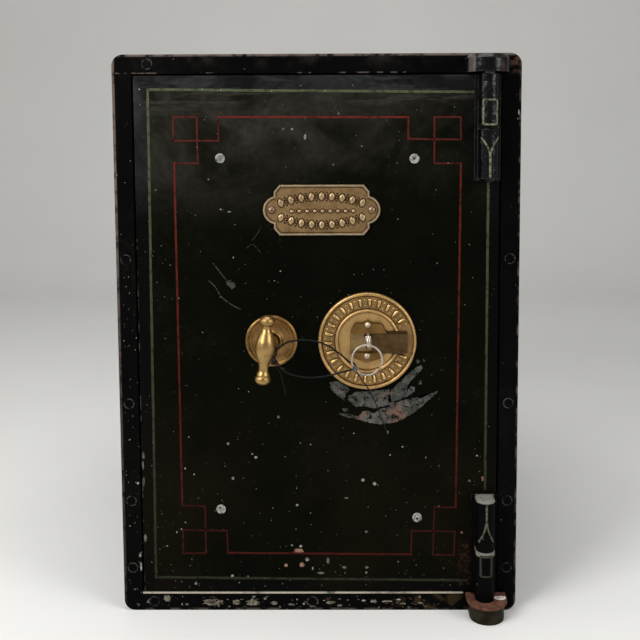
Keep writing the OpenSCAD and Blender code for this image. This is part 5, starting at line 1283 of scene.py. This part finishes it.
class SAFE_OT_name_plate(Operator):
    """Finishes the name plate and gives its bare field a cast ornament"""

    bl_idname = "safe.name_plate"
    bl_label = "Name plate"

    def execute(self, context):
        metal = context.scene.safe_metal
        dull = brass_finish("name_plate_brass", metal.plate, metal.tarnish, 0.5, 0.42, 0.62, 0.9, 0.0008)
        dress(["name_plate"], dull)
        self.ornament()
        return {"FINISHED"}

    def ornament(self):
        """Two curved rows of leaves and beads, a row of lozenges between them, and a line round them."""
        # The ornament takes a paler brass than the plate: rubbed high spots, and partly a painted highlight.
        colours = (tone("ornament"), tone("ornament_dull"))
        rubbed = brass_finish("name_plate_high_brass", *colours, 0.35, 0.36, 0.55, 0.2)
        colours = (tone("plate_rivet"), tone("plate_rivet_dull"))
        dress(["name_plate_rivets"], brass_finish("plate_rivet_brass", *colours, 0.7, 0.3, 0.5))
        bm = bmesh.new()
        shadows = bmesh.new()
        base = plate_low.y + 0.001
        for row in ROWS:
            self.curved_row(bm, shadows, row, base)
        self.middle_row(bm, shadows, base)
        made = piece("name_plate_ornament", bm, "door", rubbed)
        made.data.set_sharp_from_angle(angle=math.radians(50))

        def on_field(u, v, height):
            return Vector((u, base - height * 0.4, v))

        def on_rim(u, v, height):
            return Vector((u, plate_low.y - height * 0.3, v))

        # Tarnish and painted shadow: a dark line inside the rim, along its groove.
        painted_line(shadows, self.edge(0.003), 0.0009, on_field, closed=True)
        colours = (tone("plate_shadow_tarnish"), tone("plate_shadow_tarnish_dull"))
        dark = brass_finish("name_plate_shadow_tarnish", *colours, 0.6, 0.5, 0.7)
        piece("name_plate_shadows", shadows, "door", dark, smooth=False)
        # A pale line along the top of the rim: rubbed brass, and partly a painted highlight.
        rim = bmesh.new()
        painted_line(rim, self.edge(0.0009), 0.0012, on_rim, closed=True, seed=4.0)
        worn = brass_finish("name_plate_rim_wear_and_highlight", tone("plate_rim"), tone("plate_rim_dull"), 0.4, 0.36, 0.5)
        piece("name_plate_rim", rim, "door", worn, smooth=False)

    def curved_row(self, bm, shadows, row, base):
        """Leaves with three beads between each two, along an arc that falls towards its ends."""
        flip, rise_mid, fall = row
        half = (ROW_COUNT - 1) / 2
        for k in range(ROW_COUNT):
            share = (k - half) / half
            height = flip * (rise_mid - fall * share * share)
            place = Vector((plate_x + share * ROW_HALF, plate_z + height))
            lean = -flip * share * ROW_LEAN
            along = Vector((-math.sin(lean), math.cos(lean)))
            if k % 2:
                self.shadow(shadows, place, lean, BEADS_SHADOW_STAIN, base)
                for end in (-BEAD_STEP, 0.0, BEAD_STEP):
                    self.leaf(bm, place + along * end, lean, BEAD, base)
            else:
                self.shadow(shadows, place, lean, LEAF_SHADOW_STAIN, base)
                self.leaf(bm, place, lean, LEAF, base)

    def middle_row(self, bm, shadows, base):
        """Small lozenges and beads by turns."""
        for k in range(-8, 9):
            place = Vector((plate_x + 0.001 + k * LOZENGE_STEP, plate_z - 0.0012))
            self.shadow(shadows, place, 0.0, SMALL_BEAD_SHADOW_STAIN if k % 2 else LOZENGE_SHADOW_STAIN, base)
            self.leaf(bm, place, 0.0, SMALL_BEAD if k % 2 else LOZENGE, base)

    def edge(self, inset):
        """The plate's outline, set in from its edge by inset metres."""
        ear = EAR_RADIUS - inset
        right = [
            (CUT_TOP[0] - inset * 0.47, CUT_TOP[1] - inset),
            (CUT_SIDE[0] - inset, CUT_SIDE[1] - inset * 0.36),
        ]
        for k in range(13):
            angle = math.radians(80 - k * 160 / 12)
            right.append((EAR_MIDDLE + ear * math.cos(angle), ear * math.sin(angle)))
        right += [(x, -z) for x, z in reversed(right[:2])]
        return [(plate_x + x * side, plate_z + z * side) for side in (1, -1) for x, z in right]

    def shadow(self, bm, place, lean, half, base):
        """A dark stain round an ornament: tarnish and painted shadow."""
        outline = self.leaning(place, lean, oval(*half))
        flake(bm, outline, lambda u, v, height: Vector((u, base - height * 0.5, v)))

    def leaf(self, bm, place, lean, half, base):
        """A raised leaf with pointed ends."""
        half_w, half_h = half
        steps = [-1 + k / 4 for k in range(8)]
        shape = [(half_w * (1 - t * t), half_h * t) for t in steps]
        shape += [(half_w * (t * t - 1), -half_h * t) for t in steps]
        raised(bm, self.leaning(place, lean, shape), base, 0.0013, half_w * 0.45)

    def leaning(self, place, lean, shape):
        """A shape turned by lean and set in its place."""
        c, s = math.cos(lean), math.sin(lean)
        return [Vector((place.x + a * c - b * s, place.y + a * s + b * c)) for a, b in shape]


# The escutcheon's band, as radii in metres: its two edges, the lines beside them and its middle
BAND = (0.0352, 0.0488)
# The lines are dark tarnish and painted shadow in the grooves by the band's edges.
BAND_LINES = (0.0354, 0.0486)
BAND_MIDDLE = 0.042
# Half length and half width of a tongue and of the tarnish stain and painted shadow round it, and the
# (radius from the middle, size) of the studs
TONGUE = (0.0046, 0.00155)
TONGUE_SHADOW_STAIN = (0.0055, 0.0024)
STUDS = ((0.0452, 0.00115), (0.0388, 0.0009))
# The sine of half the angle that the cover's channel takes out of the band
CHANNEL = 0.34


class SAFE_OT_lock_brass(Operator):
    """Finishes the escutcheon, its keepers and cover, with a cast border"""

    bl_idname = "safe.lock_brass"
    bl_label = "Escutcheon"

    def execute(self, context):
        metal = context.scene.safe_metal
        cast = brass_finish(
            "escutcheon_brass", metal.brass, metal.tarnish, 0.34, 0.36, 0.6, 0.35, 0.0006, BAND,
        )
        dress(["lock_escutcheon"], cast)
        housing = brass_finish(
            "housing_brass", tone("housing"), metal.tarnish, 0.4, 0.4, 0.6, 0.3, 0.0007,
        )
        dress(["keyhole_housing"], housing)
        keepers = brass_finish("keeper_brass", tone("keepers"), metal.tarnish, 0.45, 0.38, 0.6, 0.2, 0.0007)
        dress(["cover_keepers"], keepers)
        stain = STAINS["keeper_screw_stain"]
        screws = steel_finish("keeper_screw_metal", tone("keeper_screws"), stain, 0.22)
        dress(["keeper_screws"], screws)
        cover = brass_finish("cover_bronze", metal.cover, tone("cover_dull"), 0.75, 0.45, 0.6, 0.1, 0.0006)
        dress(["keyhole_cover"], cover)
        self.border(metal)
        return {"FINISHED"}

    def border(self, metal):
        """Fluted tongues and studs round the band, clear of the cover's channel."""
        # The tongues and studs take a brighter copy of the brass: rubbed high spots, and partly a painted
        # highlight.
        bright = tuple(c * 1.15 for c in metal.brass)
        high = brass_finish("escutcheon_high_brass", bright, metal.tarnish, 0.22, 0.3, 0.5)
        bm = bmesh.new()
        stains_and_shadows = bmesh.new()
        base = front - 0.003

        def on_band(u, v, height):
            return Vector((u, base - height, v))

        # Dark lines of tarnish and painted shadow along both grooves.
        for radius in BAND_LINES:
            angles = [math.radians(22 + k * 316 / 90) for k in range(91)]
            ring = [polar(lock_x, lock_z, radius, angle) for angle in angles]
            painted_line(stains_and_shadows, ring, 0.0009, on_band, height=0.00006)
        count = metal.tongues
        for k in range(count * 2):
            angle = math.pi * (k + 0.5) / count
            if math.cos(angle) > 0 and abs(math.sin(angle)) < CHANNEL:
                continue
            if k % 2 == 0:
                # Tarnish and painted shadow under the tongue.
                flake(stains_and_shadows, self.stain(angle), on_band, 0.00005)
                raised(bm, self.tongue(angle), base, 0.0014, 0.0005)
            else:
                self.studs(bm, angle, base)
        piece("escutcheon_border", bm, "door", high)
        colours = (tone("band_shadow_tarnish"), tone("band_shadow_tarnish_dull"))
        dark = brass_finish("escutcheon_shadow_tarnish", *colours, 0.55, 0.5, 0.7)
        piece("escutcheon_stains_and_shadows", stains_and_shadows, "door", dark, smooth=False)

    def on_spoke(self, angle, along, across):
        """A point of the band, measured from the middle of the spoke at that angle."""
        p = polar(lock_x, lock_z, BAND_MIDDLE + along, angle)
        return Vector((p.x - math.sin(angle) * across, p.y + math.cos(angle) * across))

    def stain(self, angle):
        """The outline of the tarnish stain and painted shadow under a tongue."""
        return [self.on_spoke(angle, a, b) for a, b in oval(*TONGUE_SHADOW_STAIN, 14)]

    def tongue(self, angle):
        """The outline of a tongue: a blunt oval that is wider at its outer end."""
        long, wide = TONGUE
        outline = []
        for turn in round_angles(14):
            a = long * math.copysign(abs(math.cos(turn)) ** 0.7, math.cos(turn))
            b = wide * math.copysign(abs(math.sin(turn)) ** 0.7, math.sin(turn)) * (1 + a * 60)
            outline.append(self.on_spoke(angle, a, b))
        return outline

    def studs(self, bm, angle, base):
        """Two studs between each two tongues."""
        for radius, size in STUDS:
            p = polar(lock_x, lock_z, radius, angle)
            outline = [tuple(polar(p.x, p.y, size, turn)) for turn in round_angles(10)]
            raised(bm, outline, base, 0.0011, 0.0004)


class SAFE_OT_handle_brass(Operator):
    """Finishes the handle, its rose and the steel behind them"""

    bl_idname = "safe.handle_brass"
    bl_label = "Handle"

    def execute(self, context):
        metal = context.scene.safe_metal
        rubbed = brass_finish("handle_brass", tone("grip"), metal.tarnish, 0.42, 0.36, 0.56, 0.15, 0.0004)
        dress(["handle_grip", "handle_neck"], rubbed)
        rose = brass_finish("rose_brass", tone("rose"), tone("rose_dull"), 0.6, 0.32, 0.55, 0.15, 0.0004)
        dress(["handle_rose", "spindle_bush"], rose)
        steel = steel_finish("spindle_steel", metal.steel, STAINS["spindle_stain"])
        dress(["handle_spindle", "handle_crank", "spindle_nut"], steel)
        return {"FINISHED"}


class SAFE_OT_works(Operator):
    """Finishes the bolt work and the lock behind the door"""

    bl_idname = "safe.works"
    bl_label = "Bolt work and lock"

    def execute(self, context):
        metal = context.scene.safe_metal
        bar = steel_finish("bolt_bar_steel", tone("bolt_bar"), STAINS["works_stain"], 0.42)
        dress(["bolt_bar", "bolt_rivets", "bolt_guides"], bar)
        stain = STAINS["bolt_stain"]
        bright = steel_finish("bolt_bright_steel", metal.steel, stain, 0.26, (900, 60, 60))
        dress(["upper_bolt", "lower_bolt", "lock_bolt"], bright)
        dress(["lever_pivot", "lever_springs", "lock_screws"], bright)
        case = steel_finish("lock_case_steel", tone("lock_case"), STAINS["works_stain"], 0.5)
        dress(["lock_case", "lock_cap"], case)
        inner = brass_finish("lever_brass", tone("levers"), metal.tarnish, 0.4, 0.3, 0.5)
        dress(["lock_levers", "lock_barrel"], inner)
        return {"FINISHED"}


# The key's shank as (radius, distance in front of the door), in metres
SHANK = [
    (0.0, 0.0141), (0.002, 0.014), (0.0026, 0.0137), (0.0031, 0.0134), (0.0031, 0.0124),
    (0.0025, 0.012), (0.003, 0.0115), (0.003, 0.0106), (0.0025, 0.0101), (0.00255, 0.0),
    (0.00255, -0.036), (0.0023, -0.037), (0.0, -0.037),
]
# The bow's rounded ends and how far they stand from its middle, in metres
BOW_RADIUS = 0.0072
BOW_STRETCH = 0.004
# The bit behind the door's face: where it starts, its length and reach, and half its thickness
BIT_START = 0.02
BIT_LENGTH = 0.016
BIT_REACH = 0.013
BIT_HALF = 0.0015
# The split ring: half the width of its wire, half the step between its turns, and where it starts
RING_WIRE = 0.001
RING_STEP = 0.00052
RING_START = math.radians(264)


class SAFE_OT_key_and_ring(Operator):
    """Makes the key with its oval bow, and the split ring on it"""

    bl_idname = "safe.key_and_ring"
    bl_label = "Key and ring"

    def execute(self, context):
        metal = context.scene.safe_metal
        stain = STAINS["key_stain"]
        bright = steel_finish("key_steel", metal.nickel, stain, 0.24, (500, 500, 500))
        self.key(bright)
        self.ring(bright)
        return {"FINISHED"}

    def key(self, material):
        """The key: its bow of bent wire, its turned shank and its bit with three cuts."""
        bm = bmesh.new()
        path = []
        for turn in round_angles(40):
            ahead = math.cos(turn)
            shift = math.copysign(BOW_STRETCH, ahead) if abs(ahead) > 0.05 else 0.0
            y = bow_y + shift + BOW_RADIUS * ahead
            path.append(Vector((key_x, y, key_z + BOW_RADIUS * math.sin(turn))))
        sweep(bm, path, self.bow_section, (1, 0, 0), closed=True)
        turned(bm, SHANK, (key_x, front, key_z), 32)
        bmesh.ops.remove_doubles(bm, verts=bm.verts, dist=1e-6)
        reach = BIT_REACH
        outline = [(0, 0), (0, -reach)]
        for k in range(3):
            a = 0.0024 + k * 0.0046
            depth = 0.0025 + 0.001 * k
            b = a + 0.0018
            outline += [(a, -reach), (a, depth - reach), (b, depth - reach), (b, -reach)]
        outline += [(BIT_LENGTH, -reach), (BIT_LENGTH, 0)]
        start = front + BIT_START
        loops = [
            [(key_x + side, start + y, key_z + z) for y, z in outline] for side in (-BIT_HALF, BIT_HALF)
        ]
        loops_to_faces(bm, loops)
        made = piece("door_key", bm, "key", material, stands_for=("key",))
        made.data.set_sharp_from_angle(angle=math.radians(40))

    def bow_section(self, share):
        """The bow's wire, broad before and behind and narrow at its top and bottom."""
        return oval(0.0008, 0.0012 + 0.0008 * abs(math.cos(2 * math.pi * share * 39 / 40)), 12)

    def ring(self, material):
        """Two close turns of flattened wire with a step between them."""
        bm = bmesh.new()
        middle = ring_r - RING_WIRE
        turns = 2.0
        count = 150
        path = []
        for k in range(count + 1):
            share = k / count
            angle = 2 * math.pi * turns * share + RING_START
            lift = RING_STEP * math.tanh((share - 0.5) * 26)
            p = polar(ring_x, ring_z, middle, angle)
            path.append(Vector((p.x, ring_y + lift, p.y)))
        sweep(bm, path, rounded_bar(0.00092, 0.0019, 0.00028))
        made = piece("split_ring", bm, "ring", material, stands_for=("key_ring",))
        made.data.set_sharp_from_angle(angle=math.radians(50))


# The straps' routes, in millimetres, with y counted from the front face
KEY_TIE_OUT = [
    (40.8, -24.3, 280.9), (39.6, -22.4, 283), (37.4, -20.9, 284.5), (33.5, -20.8, 285.6),
    (28.4, -22.4, 290.3), (21, -25, 297.3), (12.2, -27.6, 304), (3.5, -29.6, 308.3),
    (-5.3, -31.2, 310.9), (-14, -32.4, 312), (-22.8, -33.2, 311.4), (-30.1, -33.8, 310),
    (-35.9, -34.4, 307),
]
# The way through the neck tie is counted from the neck's axis
KEY_TIE_LINK = [
    (9.8, -35, 0.5), (6.6, -35.4, -1.6), (6.2, -36.6, -3.4), (5.6, -38.4, -5), (5.3, -40.5, -6.6),
    (6.3, -41.4, -9.4), (9, -41.6, -13.2),
]
KEY_TIE_HOME = [
    (-37.1, -41.4, 284.3), (-29.9, -40.6, 278.8), (-19.8, -39.2, 275.2), (-8.2, -37.4, 273.3),
    (3.4, -35.4, 273.3), (15.1, -33, 274.7), (25.4, -30.4, 276.6), (34.2, -28.2, 278.3),
    (36.9, -27.8, 279.2),
]
KEY_TAIL = [
    (41.2, -27.6, 277.7), (42.8, -28, 274.4), (48.2, -28.4, 266.3), (54.8, -28.2, 256.4),
    (60.8, -27.4, 244), (65.2, -26, 231.4), (69.7, -24.4, 220.2), (74.3, -22, 206.4),
]
NECK_TAIL = [
    (-43, -38.2, 287.1), (-41, -38.8, 283), (-38.2, -39.2, 278.6), (-36.5, -39.5, 273),
    (-34.7, -39, 266), (-33.5, -38, 258.7),
]
# The neck tie's middle from the neck's axis, and the radius of its middle line, in millimetres
NECK_RING = (-0.6, -2.4, 8.92)
# How far the neck tie lies in front of the door, in metres
NECK_DEPTH = 0.038
# The angle in radians over which an edge of a strap shows as sharp
STRAP_EDGE = 0.9
# The locking heads as (x, y, z, lean in degrees), in millimetres
TIE_HEADS = ((40.1, -27.4, 280, 24), (-44.6, -38, 289.4, 8))
# A head's size, its wall and the depth of its hollow, in metres
TIE_HEAD_SIZE = Vector((0.0058, 0.0033, 0.004))
TIE_HEAD_WALL = 0.0009
TIE_HEAD_HOLLOW = 0.0006


class SAFE_OT_cable_ties(Operator):
    """Makes the cable ties between the handle and the key"""

    bl_idname = "safe.cable_ties"
    bl_label = "Cable ties"

    def execute(self, context):
        tie = context.scene.safe_tie
        finish = Finish("tie_nylon")
        ribs = finish.clouds(700.0, 2.0)
        scuff = finish.rise(finish.clouds(160.0, 4.0), 0.5, 0.72)
        colour = finish.blend(finish.maths("MULTIPLY", scuff, 0.12), tie.nylon, tone("tie_scuffed"))
        nylon = finish.done(colour, 0.42, 0.0, ribs, 0.00008, 0.16)
        section = rounded_bar(tie.width, tie.thickness, tie.thickness * 0.3)

        def metres(points):
            return [Vector((x / 1000, front + y / 1000, z / 1000)) for x, y, z in points]

        link = metres([(x + handle_x * 1000, y, z + handle_z * 1000) for x, y, z in KEY_TIE_LINK])
        bm = bmesh.new()
        sweep(bm, smooth_path(metres(KEY_TIE_OUT) + link + metres(KEY_TIE_HOME), 5), section)
        sweep(bm, smooth_path(metres(KEY_TAIL), 6), self.tapering(tie))
        made = piece("key_tie_strap", bm, "door", nylon, stands_for=("key_tie",))
        made.data.set_sharp_from_angle(angle=STRAP_EDGE)
        bm = bmesh.new()
        x, z, radius = (part / 1000 for part in NECK_RING)
        ring = []
        for turn in round_angles(48):
            p = polar(handle_x + x, handle_z + z, radius, turn)
            ring.append(Vector((p.x, front - NECK_DEPTH, p.y)))
        sweep(bm, ring, section, closed=True)
        sweep(bm, smooth_path(metres(NECK_TAIL), 6), self.tapering(tie))
        made = piece("neck_tie_strap", bm, "door", nylon, stands_for=("neck_tie",))
        made.data.set_sharp_from_angle(angle=STRAP_EDGE)
        self.heads()
        return {"FINISHED"}

    def tapering(self, tie):
        """The tail's section, which narrows to its tip."""
        def section(share):
            narrow = 1 - 0.45 * max(0.0, share - 0.8) / 0.2
            return rounded_bar(tie.width * narrow, tie.thickness * 0.68, tie.thickness * 0.2)
        return section

    def heads(self):
        """The two locking heads, each with a hollow in its front. The key tie's head is grey, a painted
        highlight.
        """
        finish = Finish("tie_head_nylon")
        scuff = finish.rise(finish.clouds(260.0, 4.0), 0.35, 0.7)
        grey = finish.blend(scuff, tone("tie_head_dark"), tone("tie_head_light"))
        # Painted highlight: the key tie's head, on the right, is a mottled grey; the neck tie's head stays
        # black.
        colour = finish.blend(finish.rise(finish.x, -0.01, 0.01), tone("tie_head_black"), grey)
        worn = finish.done(colour, 0.4, 0.0, scuff, 0.00008, 0.3)
        bm = bmesh.new()
        size = TIE_HEAD_SIZE
        for x, y, z, lean in TIE_HEADS:
            centre = Vector((x / 1000, front + y / 1000, z / 1000))
            turn = Euler((0, math.radians(lean), 0)).to_matrix()
            block = bmesh.ops.create_cube(bm, size=1.0)["verts"]
            for v in block:
                v.co = centre + turn @ Vector((v.co.x * size.x, v.co.y * size.y, v.co.z * size.z))
            sides = {f for v in block for f in v.link_faces}
            faces = {f for f in sides if f.calc_center_median().y < centre.y - size.y * 0.4}
            bmesh.ops.inset_region(bm, faces=list(faces), thickness=TIE_HEAD_WALL)
            for f in faces:
                for v in f.verts:
                    v.co.y += TIE_HEAD_HOLLOW
        made = piece(
            "tie_locking_heads", bm, "door", worn, smooth=False, stands_for=("tie_heads",),
        )
        soften(made, 0.00035)


# The floor's reach to each side and forward, where it starts to bend up behind the safe, the bend's
# radius and the backdrop's top, in metres
FLOOR_REACH = 4.0
BEND_START = 1.6
BEND = 0.8
BACKDROP_TOP = 3.5
# The lamps as (name, place, size, share of the lamps' power), and the point that they face
LAMPS = (
    ("left_softbox", (-1.15, -1.35, 1.35), 0.9, 1.15),
    ("right_softbox", (1.35, -1.15, 1.0), 0.8, 0.5),
    ("top_softbox", (0.0, -0.3, 2.2), 1.2, 0.8),
    ("side_strip", (-1.7, -0.38, 0.75), 0.3, 0.12),
)
LAMP_AIM = Vector((0, -0.15, 0.3))
# The camera's shift, in parts of the picture's width
CAMERA_SHIFT = (-20.69 / 640, -121.84 / 640)


class SAFE_OT_stage(Operator):
    """Sets the floor, the lamps and the camera"""

    bl_idname = "safe.stage"
    bl_label = "Stage"

    def execute(self, context):
        stage = context.scene.safe_stage
        self.floor(stage)
        self.lamps(context, stage)
        self.camera(context, stage)
        context.scene.view_settings.view_transform = "Standard"
        return {"FINISHED"}

    def floor(self, stage):
        """A floor that curves up into a backdrop."""
        bm = bmesh.new()
        profile = [(-FLOOR_REACH, 0.0), (BEND_START, 0.0)]
        for k in range(1, 13):
            angle = math.pi / 2 * k / 12
            profile.append((BEND_START + BEND * math.sin(angle), BEND - BEND * math.cos(angle)))
        profile.append((BEND_START + BEND, BACKDROP_TOP))
        rows = [[bm.verts.new((x, y, z)) for x in (-FLOOR_REACH, FLOOR_REACH)] for y, z in profile]
        for a, b in zip(rows, rows[1:]):
            bm.faces.new((a[0], a[1], b[1], b[0]))
        mesh = bpy.data.meshes.new("floor_and_backdrop")
        bm.to_mesh(mesh)
        bm.free()
        mesh.polygons.foreach_set("use_smooth", [True] * len(mesh.polygons))
        made = bpy.data.objects.new("floor_and_backdrop", mesh)
        bpy.context.scene.collection.objects.link(made)
        finish = Finish("floor_pale")
        darker = tuple(c * 0.96 for c in stage.floor)
        colour = finish.blend(finish.rise(finish.clouds(3.0, 3.0), 0.2, 0.8), stage.floor, darker)
        mesh.materials.append(finish.done(colour, 0.9, gloss=0.2))

    def lamps(self, context, stage):
        """A pale world and four soft lamps."""
        world = bpy.data.worlds.new("studio")
        context.scene.world = world
        world.use_nodes = True
        background = world.node_tree.nodes["Background"]
        background.inputs["Color"].default_value = (1, 1, 1, 1)
        background.inputs["Strength"].default_value = stage.world
        for name, place, size, share in LAMPS:
            light = bpy.data.lights.new(name, "AREA")
            light.size = size
            light.energy = stage.lamps * share
            lamp = bpy.data.objects.new(name, light)
            context.scene.collection.objects.link(lamp)
            lamp.location = place
            aim = LAMP_AIM - Vector(place)
            lamp.rotation_euler = aim.to_track_quat("-Z", "Y").to_euler()

    def camera(self, context, stage):
        """The photograph's view, a little to the right of the safe and above its middle."""
        data = bpy.data.cameras.new("front_camera")
        made = bpy.data.objects.new("front_camera", data)
        context.scene.collection.objects.link(made)
        context.scene.camera = made
        made.location = stage.camera_place
        data.sensor_fit = "HORIZONTAL"
        data.lens = data.sensor_width * stage.focal
        data.shift_x, data.shift_y = CAMERA_SHIFT
        level = Euler((math.pi / 2 - stage.camera_pitch, 0, 0)).to_matrix()
        yaw = Euler((0, 0, -stage.camera_yaw)).to_matrix()
        roll = Euler((0, 0, stage.camera_roll)).to_matrix()
        made.rotation_euler = (yaw @ level @ roll).to_euler()


class SAFE_PT_panel(Panel):
    """Lists the safe's sizes, colours and steps"""

    bl_idname = "SAFE_PT_panel"
    bl_label = "Floor safe"
    bl_space_type = "VIEW_3D"
    bl_region_type = "UI"
    bl_category = "Safe"

    def draw(self, context):
        for group in GROUPS:
            box = self.layout.box()
            values = getattr(context.scene, group)
            for name in values.__annotations__:
                box.prop(values, name)
        for step in STEPS:
            self.layout.operator(step.bl_idname)


STEPS = (
    SAFE_OT_stage, SAFE_OT_cable_ties, SAFE_OT_body_paint, SAFE_OT_chamber_paint, SAFE_OT_hinge_finish,
    SAFE_OT_door_paint, SAFE_OT_pinstripes, SAFE_OT_paint_losses, SAFE_OT_name_plate, SAFE_OT_lock_brass,
    SAFE_OT_handle_brass, SAFE_OT_works, SAFE_OT_key_and_ring,
)
GROUPS = {"safe_paint": SafePaint, "safe_metal": SafeMetal, "safe_tie": SafeTie, "safe_stage": SafeStage}


def register():
    for kind in (*GROUPS.values(), *STEPS, SAFE_PT_panel):
        bpy.utils.register_class(kind)
    for name, kind in GROUPS.items():
        setattr(bpy.types.Scene, name, PointerProperty(type=kind))


def unregister():
    for name in GROUPS:
        delattr(bpy.types.Scene, name)
    for kind in reversed((*GROUPS.values(), *STEPS, SAFE_PT_panel)):
        bpy.utils.unregister_class(kind)


def main():
    register()
    for step in STEPS:
        group, name = step.bl_idname.split(".")
        getattr(getattr(bpy.ops, group), name)()


if __name__ == "__main__":
    main()
